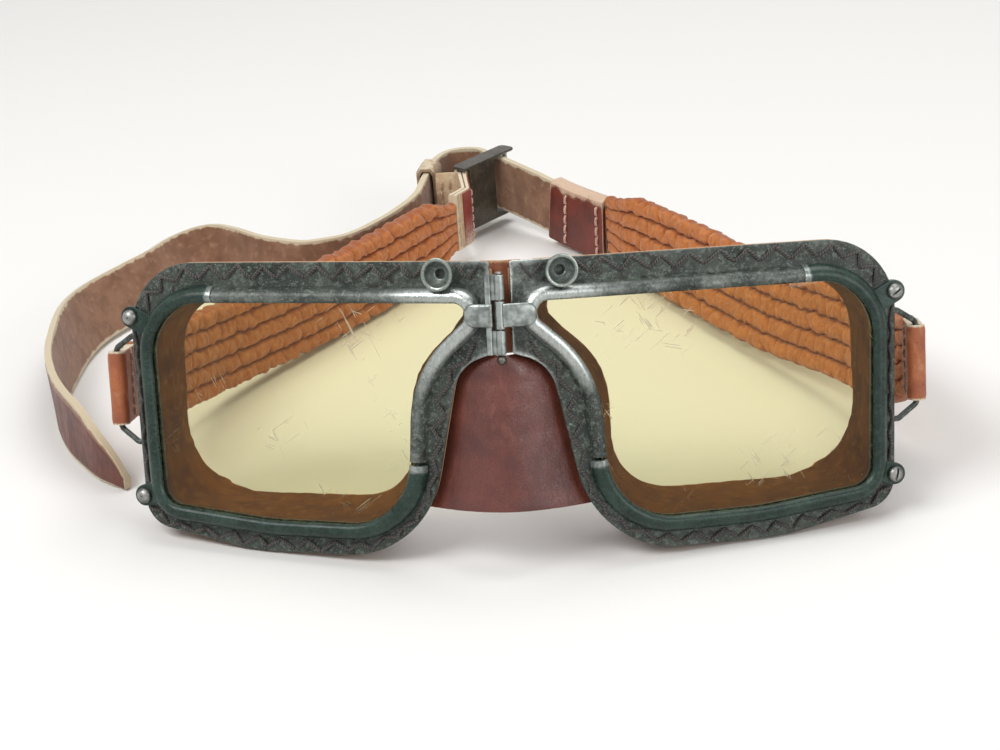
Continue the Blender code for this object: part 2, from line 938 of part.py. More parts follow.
def make_bail(parent, look):
    """Wire staple whose feet lie behind the flange."""
    seat = mask_front + wire_radius
    foot = lens_right + mask_side_space + wire_radius
    side = lens_right + rim_side
    corners = [
        (foot, seat, -bail_foot_top),
        (side + wire_radius, seat, -bail_foot_top),
        (bail_x, bail_y, -bail_top),
        (bail_x, bail_y, -bail_bottom),
        (side + wire_radius, seat, -bail_foot_bottom),
        (foot, seat, -bail_foot_bottom),
    ]
    return tube_curve("right_bail", bent(corners, bail_bend), wire_radius, parent, look)


def knuckle(name, low, high, parent):
    """One hinge knuckle, without its bore."""
    radius = pin_radius + gap + knuckle_wall
    return rod(name, (0.0, 0.0, low), (0.0, 0.0, high), radius, parent, None, 20)


def bore_knuckles(leaf, parent):
    """Bore a leaf's knuckles for the pin."""
    reach = knuckle_top + knuckle_bottom
    drill = rod("drill", (0.0, 0.0, -reach), (0.0, 0.0, reach), pin_radius + gap, parent, None, 16)
    combine(leaf, drill, "DIFFERENCE")


def lobe_outline():
    """The D-shaped plate of a leaf."""
    inner = pin_radius
    high = lobe_half_height
    corners = [(inner, high), (inner, -high), (lobe_out, -high), (lobe_out, high)]
    return rounded(corners, (edge_radius / 4, edge_radius / 4, lobe_end_radius, lobe_end_radius))


def make_middle_leaf(name, parent, look):
    """Leaf with the middle knuckle and a D-shaped plate."""
    front = groove_front - channel_wall - gap - leaf_thickness
    leaf = plate(name, [lobe_outline()], front, front + leaf_thickness, parent, look)
    combine(leaf, knuckle("knuckle", -knuckle_mid, knuckle_mid, parent), "UNION")
    bore_knuckles(leaf, parent)
    return leaf


def make_outer_leaf(name, parent, look):
    """Leaf with the two outer knuckles, their blocks and a D-shaped plate."""
    front = groove_front - channel_wall - gap - leaf_thickness
    clear = pin_radius + gap + knuckle_wall + gap
    high = lobe_half_height
    corners = [(clear, high), (clear, -high), (lobe_out, -high), (lobe_out, high)]
    lobe = rounded(corners, (edge_radius / 4, edge_radius / 4, lobe_end_radius, lobe_end_radius))
    leaf = plate(name, [lobe], front, front + leaf_thickness, parent, look)
    seat = flange_forward - gap
    strip_in = clear + gap
    strip = box("strip", (strip_in, front + leaf_thickness / 2, -knuckle_bottom),
                (leaf_block_out, seat, knuckle_top), parent, None)
    combine(leaf, strip, "UNION")
    web_front = -(pin_radius + gap)
    web_back = pin_radius + gap + knuckle_wall / 2
    inside = knuckle_mid + gap
    for low, high_end in ((inside, knuckle_top), (-knuckle_bottom, -inside)):
        web = box("web", (pin_radius, web_front, low), (strip_in + gap, web_back, high_end),
                  parent, None)
        combine(leaf, web, "UNION")
        combine(leaf, knuckle("knuckle", low, high_end, parent), "UNION")
    bore_knuckles(leaf, parent)
    return leaf


def make_pin(parent, look):
    """Hinge pin with a flat head and a ball end."""
    ball_top = knuckle_bottom + gap
    centre = ball_top + math.sqrt(pin_ball_radius ** 2 - pin_radius ** 2)
    head = knuckle_top + gap
    profile = [
        (0.0, head + pin_head_height),
        (pin_head_radius, head + pin_head_height),
        (pin_head_radius, head),
        (pin_radius, head),
    ]
    start = math.asin(pin_radius / pin_ball_radius)
    for step in range(6):
        turn = start + (math.pi - start) * step / 5
        radius = pin_ball_radius * math.sin(turn) if step < 5 else 0.0
        profile.append((radius, -centre + pin_ball_radius * math.cos(turn)))
    place = Matrix.Identity(4)
    return turned("hinge_pin", profile, False, 16, place, parent, look)


def flange_nose_half(height):
    """How far the flange's nose edge stands from the hinge axis at a height."""
    start = Vector((0.0, height))
    found = reach_to(start, Vector((1.0, 0.0)), flange_outline)
    return found if found is not None else nose_top_half


def make_nose(parent, look):
    """Curved nose leather between the two masks, bulging forward in the middle."""
    rows = 9
    columns = 10
    behind = mask_front + leather + gap
    rings = []
    for row in range(rows):
        share = row / (rows - 1)
        height = -(nose_top + (nose_bottom - nose_top) * share)
        lip = max(nose_top_half, flange_nose_half(height) + nose_lip)
        half = lip + nose_overlap
        lip_x = lip * math.cos(sweep) - behind * math.sin(sweep)
        lip_y = lip * math.sin(sweep) + behind * math.cos(sweep)
        edge_x = half * math.cos(sweep) - behind * math.sin(sweep)
        edge_y = half * math.sin(sweep) + behind * math.cos(sweep)
        middle = nose_front_top + (nose_front_bottom - nose_front_top) * share
        line = [(-edge_x, edge_y)]
        for column in range(columns + 1):
            across = 2 * column / columns - 1
            line.append((lip_x * across, middle + (lip_y - middle) * abs(across) ** 1.8))
        line.append((edge_x, edge_y))
        front = [(x, y, height) for x, y in line]
        back = [(x, y + nose_leather, height) for x, y in line]
        rings.append(front + back[::-1])
    return loft("nose_leather", rings, parent, look)


def make_bridge_leather(parent, look):
    """Leather strip across the gap behind the hinge."""
    columns = 6
    behind = mask_front + leather + gap
    rings = []
    for height in (bridge_strip_top, (bridge_strip_top - bridge_strip_bottom) / 2,
                   -bridge_strip_bottom):
        front = []
        back = []
        for column in range(columns + 1):
            across = 2 * column / columns - 1
            x = across * bridge_strip_half
            y = behind / math.cos(sweep) + abs(x) * math.tan(sweep)
            front.append((x, y, height))
            back.append((x, y + nose_leather, height))
        rings.append(front + back[::-1])
    return loft("bridge_leather", rings, parent, look)


# Headband: curves through points, each with a place across, behind the bails, and a lean
bail_centre = {side: half_point(side, bail_x, bail_y, bail_middle) for side in (-1, 1)}
back_way = Vector((0.0, math.cos(lean), -math.sin(lean)))
panel_half = channel_count * channel_pitch / 2
patch_level = (gap + patch_wall) / (buckle_lift + buckle_sheet + 3 * gap)

# Shares of the bail's distance across and of the band's depth, heights as shares between the
# bail's height (1) and the floor (0), and the lean in degrees; the strap's heights are shares
# of the buckle's lift
left_panel_shares = (
    (-0.965, 0.160, 0.560, 0.0),
    (-0.880, 0.330, 0.200, 0.0),
    (-0.650, 0.540, 0.020, 0.0),
    (-0.450, 0.710, 0.000, 0.0),
)
right_panel_shares = (
    (0.970, 0.160, 0.460, 10.0),
    (0.870, 0.300, 0.270, 20.0),
    (0.690, 0.460, 0.080, 24.0),
    (0.470, 0.650, 0.015, 22.0),
)
left_panel_end_shares = (-0.288, 0.862)
right_panel_end_shares = (0.215, 0.850)
buckle_shares = (-0.182, 1.019)
free_end_shares = (
    (-0.228, 1.100, 1.00, 0.0),
    (-0.280, 1.107, 1.00, 0.0),
    (-0.332, 1.095, 1.00, 0.0),
    (-0.366, 1.063, 1.00, 0.0),
    (-0.384, 1.018, 0.92, 0.0),
    (-0.398, 0.968, 0.76, 0.0),
    (-0.415, 0.918, 0.52, 0.0),
    (-0.462, 0.871, 0.30, 0.0),
    (-0.529, 0.821, 0.12, 0.0),
    (-0.607, 0.777, 0.00, 0.0),
    (-0.685, 0.757, 0.00, 0.0),
    (-0.758, 0.752, 0.00, 0.0),
    (-0.885, 0.780, 0.00, 2.0),
    (-0.985, 0.819, 0.00, 6.0),
    (-1.073, 0.837, 0.00, 13.0),
    (-1.151, 0.799, 0.00, 20.0),
    (-1.205, 0.737, 0.00, 23.0),
    (-1.276, 0.672, 0.00, 24.0),
    (-1.350, 0.594, 0.00, 24.0),
    (-1.377, 0.520, 0.00, 21.0),
    (-1.372, 0.427, 0.00, 14.0),
    (-1.352, 0.333, 0.00, 7.0),
    (-1.308, 0.253, 0.00, 2.0),
    (-1.251, 0.190, 0.00, 0.0),
    (-1.194, 0.144, 0.00, 0.0),
    (-1.135, 0.104, 0.00, 0.0),
    (-1.085, 0.082, 0.00, 0.0),
    (-1.047, 0.069, 0.00, 0.0),
)
keeper_share_at = (-0.385, 1.012)


def plan_point(across_share, depth_share, height):
    """A point of the headband from its shares."""
    bail = bail_centre[1]
    return Vector((across_share * bail.x, bail.y + depth_share * band_depth, height))


def smooth_path(spots, count):
    """Evenly spaced points on a smooth curve through control points."""
    first = spots[0] * 2 - spots[1]
    last = spots[-1] * 2 - spots[-2]
    knots = [first] + spots + [last]
    dense = []
    fine = 16
    for index in range(1, len(knots) - 2):
        a, b, c, d = knots[index - 1:index + 3]
        for step in range(fine):
            t = step / fine
            spot = (b * 2 + (c - a) * t + (a * 2 - b * 5 + c * 4 - d) * t * t
                    + (b * 3 - a - c * 3 + d) * t * t * t) / 2
            dense.append(spot)
    dense.append(spots[-1])
    return resampled(dense, count, closed=False)


def stations(path, start_way=None, end_way=None):
    """Tangent, width and outward directions along a path."""
    frames = []
    for index, spot in enumerate(path):
        before = path[max(index - 1, 0)]
        after = path[min(index + 1, len(path) - 1)]
        along = (after.xyz - before.xyz).normalized()
        if index == 0 and start_way is not None:
            along = start_way
        if index == len(path) - 1 and end_way is not None:
            along = end_way
        up = Vector((0.0, 0.0, 1.0))
        up = (up - along * up.dot(along)).normalized()
        outward = up.cross(along)
        tilt = Matrix.Rotation(-spot.w / lean_length, 3, along)
        frames.append((spot.xyz, along, tilt @ up, tilt @ outward))
    return frames


def ribbon(name, frames, section_at, parent, look):
    """A loft whose section is given across the thickness and the width at each station."""
    rings = []
    for index, (spot, _, up, outward) in enumerate(frames):
        share = index / (len(frames) - 1)
        rings.append([spot + outward * thick + up * wide for thick, wide in section_at(share)])
    return loft(name, rings, parent, look)


def sleeve(name, frames, inner, outer, parent, look):
    """An open-ended sleeve along stations, between an inner and an outer section."""
    rings = []
    for inside, outside in zip(inner, outer):
        line = [spot + outward * outside[0] + up * outside[1] for spot, _, up, outward in frames]
        line += [spot + outward * inside[0] + up * inside[1]
                 for spot, _, up, outward in reversed(frames)]
        rings.append(line)
    return loft(name, rings, parent, look, closed=True)


def four(spot, tilt_degrees):
    """A point with its lean, carried together through the smoothing."""
    return Vector((*spot, math.radians(tilt_degrees) * lean_length))


def panel_frames(side):
    """Stations of one elastic panel, from the sewn end to the back."""
    bail = bail_centre[side]
    shares = left_panel_shares if side < 0 else right_panel_shares
    end_shares = left_panel_end_shares if side < 0 else right_panel_end_shares
    start = bail + back_way * (loop_length + gap + sewn_length + gap)
    spots = [four(start, 0.0), four(start + back_way * sewn_length, 0.0)]
    for across, depth, height, tilt in shares:
        lean_angle = math.radians(tilt)
        level = panel_half * math.cos(lean_angle) + (casing_leather + gap) * math.sin(lean_angle)
        level += (bail.z - panel_half) * height
        tilted = -side * tilt
        spots.append(four(plan_point(across, depth, level), tilted))
    spots.append(four(plan_point(*end_shares, panel_half), 0.0))
    return stations(smooth_path(spots, elastic_stations), start_way=back_way)


def panel_spread(side, share):
    """Width of the panel at a share of its length, gathered in at both ends."""
    gathered = loop_height / (2 * panel_half)
    sewn = (left_end_height if side < 0 else tab_height) / (2 * panel_half)
    rise = blend_share(share, 0.0, 0.14)
    fall = blend_share(1 - share, 0.0, 0.10)
    return min(gathered + (1 - gathered) * rise, sewn + (1 - sewn) * fall)


def panel_swell(share):
    """Thickness of the channels at a share of the panel's length."""
    return 0.35 + 0.65 * min(blend_share(share, 0.0, 0.08), blend_share(1 - share, 0.0, 0.08))


def casing_section(side, face, share):
    """One leather of the casing: arches outside and inside, meeting at the seams."""
    spread = panel_spread(side, share)
    swell = panel_swell(share)
    seam = gap / 2
    outer = []
    inner = []
    for channel in range(channel_count):
        middle = (channel - (channel_count - 1) / 2) * channel_pitch
        for part, lift in ((-0.5, 0.0), (-0.3, 0.72), (0.0, 1.0), (0.3, 0.72)):
            rise = seam + casing_leather + casing_crown * lift * swell
            outer.append((face * rise, spread * (middle + part * channel_pitch)))
        for part, lift in ((-0.5, 0.0), (0.0, 1.0)):
            rise = seam + casing_crown * lift * swell
            inner.append((face * rise, spread * (middle + part * channel_pitch)))
    outer.append((face * (seam + casing_leather), spread * panel_half))
    inner.append((face * seam, spread * panel_half))
    return outer + inner[::-1]


def make_panel(side, parent, looks):
    """Inner and outer leather of one elastic panel, and its springs."""
    word = "left" if side < 0 else "right"
    frames = panel_frames(side)
    inward = side
    inner = ribbon(f"{word}_elastic_inner", frames,
                   lambda share: casing_section(side, inward, share), parent, looks["elastic"])
    outer = ribbon(f"{word}_elastic_outer", frames,
                   lambda share: casing_section(side, -inward, share), parent, looks["elastic"])
    springs = []
    for channel in range(channel_count):
        middle = (channel - (channel_count - 1) / 2) * channel_pitch

        def spring_section(share, middle=middle):
            centre = middle * panel_spread(side, share)
            radius = spring_radius * panel_swell(share)
            return [(radius, centre), (0.0, centre + radius), (-radius, centre),
                    (0.0, centre - radius)]

        springs.append(ribbon(f"{word}_spring_{channel + 1}", frames, spring_section, parent,
                              looks["spring"]))
    return [inner, outer] + springs


def make_loop(side, parent, look):
    """Leather rolled round the bail's bar, with its flaps pressed together behind."""
    word = "left" if side < 0 else "right"
    hole_radius = wire_radius + gap
    outer_radius = hole_radius + loop_wall
    half = sewn_thickness / 2
    outline = []
    start = math.asin(half / outer_radius)
    count = 14
    for step in range(count + 1):
        angle = math.pi / 2 + start + (2 * math.pi - 2 * start) * step / count
        outline.append(Vector((outer_radius * math.cos(angle), outer_radius * math.sin(angle))))
    outline += [Vector((half, loop_length)), Vector((-half, loop_length))]
    hole = circle((0.0, 0.0), hole_radius, 12)
    loop = standing_plate(f"{word}_strap_loop", [outline, hole], -loop_height / 2,
                          loop_height / 2, parent, look)
    loop.location = bail_centre[side]
    loop.rotation_euler = (-lean, 0.0, 0.0)
    return loop


def make_sewn_end(side, parent, look):
    """Sewn leather end between a loop and its elastic."""
    word = "left" if side < 0 else "right"
    start = bail_centre[side] + back_way * (loop_length + gap)
    path = [four(start, 0.0), four(start + back_way * sewn_length, 0.0)]
    frames = stations(path)
    half = sewn_thickness / 2

    def section(share):
        tall = loop_height / 2
        thick = half - edge_radius / 2 * share
        cut = edge_radius / 2
        return [(thick, tall - cut), (thick - cut, tall), (cut - thick, tall),
                (-thick, tall - cut), (-thick, cut - tall), (cut - thick, -tall),
                (thick - cut, -tall), (thick, cut - tall)]

    return ribbon(f"{word}_sewn_end", frames, section, parent, look)


buckle_way = Vector((math.cos(buckle_turn), math.sin(buckle_turn), 0.0))
buckle_out = Vector((-math.sin(buckle_turn), math.cos(buckle_turn), 0.0))


def buckle_point(along, out, height=0.0):
    """A point of the buckle in the frame of the whole goggles."""
    centre = plan_point(*buckle_shares, 0.0)
    level = buckle_lift + height
    return centre + buckle_way * along + buckle_out * out + Vector((0.0, 0.0, level))


buckle_inner = tab_height + 2 * gap
buckle_top = 2 * buckle_sheet + buckle_inner + 2 * gap
tab_bar_along = -(buckle_length / 2 - buckle_bar_inset)
end_bar_along = buckle_length / 2 - buckle_bar_inset / 2
plate_along = buckle_width * 0.45 - buckle_length / 2
bar_out = buckle_sheet + gap + tab_wall + gap + buckle_bar_radius


def buckle_plan(corners):
    """Plan outline in buckle coordinates, as world points."""
    return [Vector(buckle_point(*corner).xy) for corner in corners]


def make_buckle(parent, looks):
    """U-shaped sheet buckle: a plate with two ears, and two bars between the ears."""
    long_half = buckle_length / 2
    ear = [(-long_half, 0.0), (long_half, 0.0), (long_half, buckle_width),
           (-long_half, buckle_width)]
    radii = (buckle_width / 4, buckle_width / 4, buckle_width / 3, buckle_width / 3)
    ear_spots = [Vector((plate_along, 0.0)), Vector((plate_along + buckle_plate, 0.0))]
    ear_spots += rounded(ear[1:] + ear[:1], radii[1:] + radii[:1])
    ear_outline = [Vector(buckle_point(*spot).xy) for spot in ear_spots]
    body = standing_plate("buckle_body", [ear_outline], buckle_lift,
                          buckle_lift + buckle_sheet, parent, looks["buckle"])
    high = buckle_lift + buckle_top
    upper = standing_plate("upper", [ear_outline], high - buckle_sheet, high, parent, None)
    web = [(plate_along, 0.0), (plate_along + buckle_plate, 0.0),
           (plate_along + buckle_plate, buckle_sheet), (plate_along, buckle_sheet)]
    plate_wall = standing_plate("web", [buckle_plan(web)], buckle_lift + buckle_sheet / 2,
                                high - buckle_sheet / 2, parent, None)
    combine(body, plate_wall, "UNION")
    combine(body, upper, "UNION")
    low = buckle_sheet + gap
    high = buckle_top - buckle_sheet - gap
    bars = []
    for name, along in (("buckle_tab_bar", tab_bar_along), ("buckle_end_bar", end_bar_along)):
        bars.append(rod(name, buckle_point(along, bar_out, low),
                        buckle_point(along, bar_out, high), buckle_bar_radius, parent,
                        looks["pin"], 14))
    return [body] + bars


def make_tab(parent, look):
    """Leather tab looped round the buckle's bar, its flaps running to the left elastic."""
    bar = Vector(buckle_point(tab_bar_along, bar_out).xy)
    end = Vector(plan_point(*left_panel_end_shares, 0.0).xy)
    frames = panel_frames(-1)
    end_way = Vector(frames[-1][1].xy).normalized()
    flat_start = end + end_way * gap
    hole_radius = buckle_bar_radius + gap
    outer_radius = hole_radius + tab_wall
    middle = flat_start + end_way * (flat_start - bar).length / 3
    half = tab_thickness / 2
    side_way = Vector((-end_way.y, end_way.x))
    to_bar = (bar - middle).normalized()
    bar_side = Vector((-to_bar.y, to_bar.x))
    begin = math.asin(half / outer_radius)
    outline = [flat_start + side_way * half, middle + (side_way + bar_side) * (half / 2)]
    count = 14
    base = math.atan2(-to_bar.y, -to_bar.x)
    for step in range(count + 1):
        angle = base - begin - (2 * math.pi - 2 * begin) * step / count
        outline.append(bar + Vector((math.cos(angle), math.sin(angle))) * outer_radius)
    outline += [middle - (side_way + bar_side) * (half / 2), flat_start - side_way * half]
    hole = circle(bar, hole_radius, 12)
    low = tab_lift + 3 * gap + buckle_sheet
    return standing_plate("left_end_tab", [outline, hole], low, low + tab_height, parent, look)


def strap_level(lift_share, tilt):
    """Height of the strap's middle where it is lifted by a share and leans by some degrees."""
    lean_angle = math.radians(tilt)
    half_tall = (strap_width * math.cos(lean_angle) + strap_thickness * math.sin(lean_angle)) / 2
    return half_tall + (buckle_lift + buckle_sheet + 3 * gap) * lift_share


def strap_spots():
    """Control points of the adjusting strap from the patch to its free tip."""
    frames = panel_frames(1)
    end, way = frames[-1][0], frames[-1][1]
    start = Vector((end.x, end.y, 0.0)) + Vector((way.x, way.y, 0.0)).normalized() * 2 * gap
    window_along = (plate_along + buckle_plate + end_bar_along) / 2
    window = buckle_point(window_along, buckle_width * 0.35)
    window_way = (window - start).normalized()
    spots = [start, start.lerp(window, 0.33), start.lerp(window, 0.66),
             window, window + window_way * buckle_width]
    levels = (patch_level, patch_level + 0.1, 0.75, 1.0, 1.0)
    spots = [four((spot.x, spot.y, strap_level(level, 0.0)), 0.0)
             for spot, level in zip(spots, levels)]
    for across, depth, level, tilt in free_end_shares:
        spots.append(four(plan_point(across, depth, strap_level(level, tilt)), -tilt))
    return spots


def strap_frames():
    """Stations along the whole adjusting strap."""
    return stations(smooth_path(strap_spots(), strap_stations))


def strap_length(frames):
    """Length along stations."""
    return sum((b[0] - a[0]).length for a, b in zip(frames, frames[1:]))


def make_strap(parent, look):
    """The flat adjusting strap with its long rounded end."""
    frames = strap_frames()
    length = strap_length(frames)

    def section(share):
        rest = (1 - share) * length
        part = min(1.0, rest / tip_length)
        low = -strap_width / 2
        high = low + strap_width * max(0.2, math.sin(math.pi / 2 * part))
        thick = strap_thickness / 2
        cut = strap_chamfer
        return [(thick, high - cut), (thick - cut, high), (cut - thick, high),
                (-thick, high - cut), (-thick, low + cut), (cut - thick, low),
                (thick - cut, low), (thick, low + cut)]

    return ribbon("adjusting_strap", frames, section, parent, look)


def sleeve_sections(wall):
    """Inner and outer section of a sleeve round the strap."""
    inner_thick = strap_thickness / 2 + gap
    inner_wide = strap_width / 2 + gap
    inner = [(inner_thick, inner_wide), (-inner_thick, inner_wide),
             (-inner_thick, -inner_wide), (inner_thick, -inner_wide)]
    outer = [(thick + math.copysign(wall, thick), wide + math.copysign(wall, wide))
             for thick, wide in inner]
    return inner, outer


def stretch_of(frames, start, length):
    """The stations that cover a length of the strap."""
    path = [Vector((*spot, 0.0)) for spot, _, _, _ in frames]
    total = strap_length(frames)
    picked = resampled(path, 5, start / total, (start + length) / total, closed=False)
    return stations(picked)


def make_patch(parent, look):
    """Sewn patch round the strap where it meets the right elastic."""
    inner, outer = sleeve_sections(patch_wall)
    return sleeve("strap_patch", stretch_of(strap_frames(), gap, patch_length), inner, outer,
                  parent, look)


def make_keeper(parent, look):
    """Loop that holds the strap's free end."""
    frames = strap_frames()
    target = plan_point(*keeper_share_at, 0.0)
    marks = [0.0]
    for a, b in zip(frames, frames[1:]):
        marks.append(marks[-1] + (b[0] - a[0]).length)
    nearest = min(range(len(frames)), key=lambda index: (frames[index][0] - target).xy.length)
    inner, outer = sleeve_sections(keeper_wall)
    start = marks[nearest] - keeper_length / 2
    return sleeve("keeper_loop", stretch_of(frames, start, keeper_length), inner, outer,
                  parent, look)


def all_looks():
    """Materials of the pieces."""
    return {
        "frame": material("frame_paint", (0.075, 0.125, 0.105), 0.42, 0.55),
        "retainer": material("retainer_paint", (0.045, 0.085, 0.065), 0.42, 0.5),
        "lens": material("lens_glass", (0.55, 0.55, 0.38), 0.05, 0.0),
        "screw": material("screw_steel", (0.16, 0.17, 0.16), 0.4, 0.8),
        "nut": material("nut_steel", (0.18, 0.18, 0.17), 0.45, 0.8),
        "vent": material("vent_metal", (0.13, 0.16, 0.15), 0.4, 0.7),
        "thread": material("lacing_thread", (0.11, 0.08, 0.075), 0.8, 0.0),
        "mask": material("mask_leather", (0.42, 0.21, 0.055), 0.85, 0.0),
        "wire": material("bail_wire", (0.06, 0.08, 0.07), 0.45, 0.7),
        "leaf": material("hinge_metal", (0.30, 0.33, 0.31), 0.35, 0.85),
        "pin": material("pin_metal", (0.35, 0.34, 0.31), 0.35, 0.9),
        "nose": material("nose_leather", (0.16, 0.045, 0.03), 0.4, 0.0),
        "bridge": material("bridge_leather", (0.30, 0.10, 0.04), 0.7, 0.0),
        "loop": material("loop_leather", (0.45, 0.12, 0.04), 0.6, 0.0),
        "elastic": material("elastic_leather", (0.62, 0.24, 0.07), 0.8, 0.0),
        "spring": material("spring_steel", (0.45, 0.45, 0.45), 0.4, 0.9),
        "tab": material("tab_leather", (0.62, 0.50, 0.38), 0.8, 0.0),
        "buckle": material("buckle_metal", (0.10, 0.08, 0.06), 0.4, 0.8),
        "strap": material("strap_leather", (0.34, 0.18, 0.11), 0.8, 0.0),
        "patch": material("patch_leather", (0.24, 0.045, 0.03), 0.5, 0.0),
        "keeper": material("keeper_leather", (0.45, 0.33, 0.22), 0.8, 0.0),
    }


def make_half_pieces(parent, looks):
    """The pieces that both halves share, modelled on the right half."""
    mask = make_mask(parent, looks["mask"])
    clear_fittings(mask, parent)
    return [
        make_frame(parent, looks["frame"]),
        make_retainer(parent, looks["retainer"]),
        make_lens(parent, looks["lens"]),
        *make_screws(parent, looks["screw"]),
        *make_nuts(parent, looks["nut"]),
        make_vent(parent, looks["vent"]),
        *make_lacing(parent, looks["thread"]),
        mask,
        make_bail(parent, looks["wire"]),
    ]


def centre_on_origin(root):
    """Move the goggles so that the middle of their base lies on the origin."""
    bpy.context.view_layer.update()
    graph = bpy.context.evaluated_depsgraph_get()
    low = Vector((math.inf, math.inf, math.inf))
    high = -low
    for obj in collection.objects:
        if obj.type not in {"MESH", "CURVE"}:
            continue
        seen = obj.evaluated_get(graph)
        mesh = seen.to_mesh()
        for vertex in mesh.vertices:
            spot = obj.matrix_world @ vertex.co
            low = Vector(map(min, low, spot))
            high = Vector(map(max, high, spot))
        seen.to_mesh_clear()
    root.location = (-(low.x + high.x) / 2, -(low.y + high.y) / 2, -low.z)


def main():
    """Build the goggles."""
    clear_scene()
    bpy.context.scene.collection.children.link(collection)
    looks = all_looks()
    root = empty("goggles", None)
    hinge = empty("hinge_axis", root, (0.0, 0.0, hinge_height), (-lean, 0.0, 0.0))
    right = empty("right_half", hinge, rotation=(0.0, 0.0, sweep))
    left = empty("left_half", hinge, rotation=(0.0, 0.0, -sweep), mirrored=True)
    band = empty("headband", root)
    for piece in make_half_pieces(right, looks):
        mirrored_copy(piece, piece.name.replace("right", "left"), left)
    make_middle_leaf("right_hinge_leaf", right, looks["leaf"])
    make_outer_leaf("left_hinge_leaf", left, looks["leaf"])
    make_pin(hinge, looks["pin"])
    make_nose(hinge, looks["nose"])
    make_bridge_leather(hinge, looks["bridge"])
    for side in (-1, 1):
        make_loop(side, band, looks["loop"])
        make_sewn_end(side, band, looks["loop"])
        make_panel(side, band, looks)
    make_buckle(band, looks)
    make_tab(band, looks["tab"])
    make_strap(band, looks["strap"])
    make_patch(band, looks["patch"])
    make_keeper(band, looks["keeper"])
    centre_on_origin(root)


main()
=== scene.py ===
"""Looks of the flying goggles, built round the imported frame."""
import json
import math
import random

import bmesh
import bpy
from mathutils import Matrix, Vector, noise


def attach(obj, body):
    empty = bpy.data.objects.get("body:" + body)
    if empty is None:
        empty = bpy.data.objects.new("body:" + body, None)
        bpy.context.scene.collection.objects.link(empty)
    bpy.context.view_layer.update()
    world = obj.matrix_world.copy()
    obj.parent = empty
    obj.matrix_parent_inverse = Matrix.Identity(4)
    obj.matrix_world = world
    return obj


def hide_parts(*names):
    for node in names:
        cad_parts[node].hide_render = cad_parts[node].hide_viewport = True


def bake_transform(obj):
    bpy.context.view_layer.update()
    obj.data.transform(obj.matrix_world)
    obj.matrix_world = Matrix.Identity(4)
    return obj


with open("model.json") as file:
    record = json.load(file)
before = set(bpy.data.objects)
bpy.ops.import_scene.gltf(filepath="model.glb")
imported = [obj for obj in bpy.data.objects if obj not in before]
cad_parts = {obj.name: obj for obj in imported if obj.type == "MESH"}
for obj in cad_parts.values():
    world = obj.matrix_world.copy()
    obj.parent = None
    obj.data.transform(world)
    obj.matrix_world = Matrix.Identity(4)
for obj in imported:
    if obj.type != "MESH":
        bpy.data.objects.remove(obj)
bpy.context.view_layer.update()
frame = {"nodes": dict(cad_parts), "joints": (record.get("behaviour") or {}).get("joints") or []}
rng = random.Random(7)

# Everything is built in millimetres and then placed in metres
to_metres = Matrix.Scale(0.001, 4)
lean = math.radians(15.0)
sweep = math.radians(15.8)
hinge_joint = next(j for j in frame["joints"] if j["name"] == "bridge_hinge")
hinge = Vector(hinge_joint["pos_m"]) * 1000
hinge_height = 60.606
leaned = Matrix.Translation(hinge) @ Matrix.Rotation(-lean, 4, "X")
half_place = {
    1: leaned @ Matrix.Rotation(sweep, 4, "Z"),
    -1: leaned @ Matrix.Rotation(-sweep, 4, "Z") @ Matrix.Diagonal((-1.0, 1.0, 1.0, 1.0)),
}
band_place = Matrix.Translation((hinge.x, hinge.y, hinge.z - hinge_height))
words = {1: "right", -1: "left"}
upright = Vector((0.0, 0.0, 1.0))

# Clearance between pieces, and depths in one half: flange, lens and mask
gap = 0.3
flange_front = 2.3
flange_back = 3.1
mask_front = 3.4
leather = 1.5
behind_mask = mask_front + leather + gap


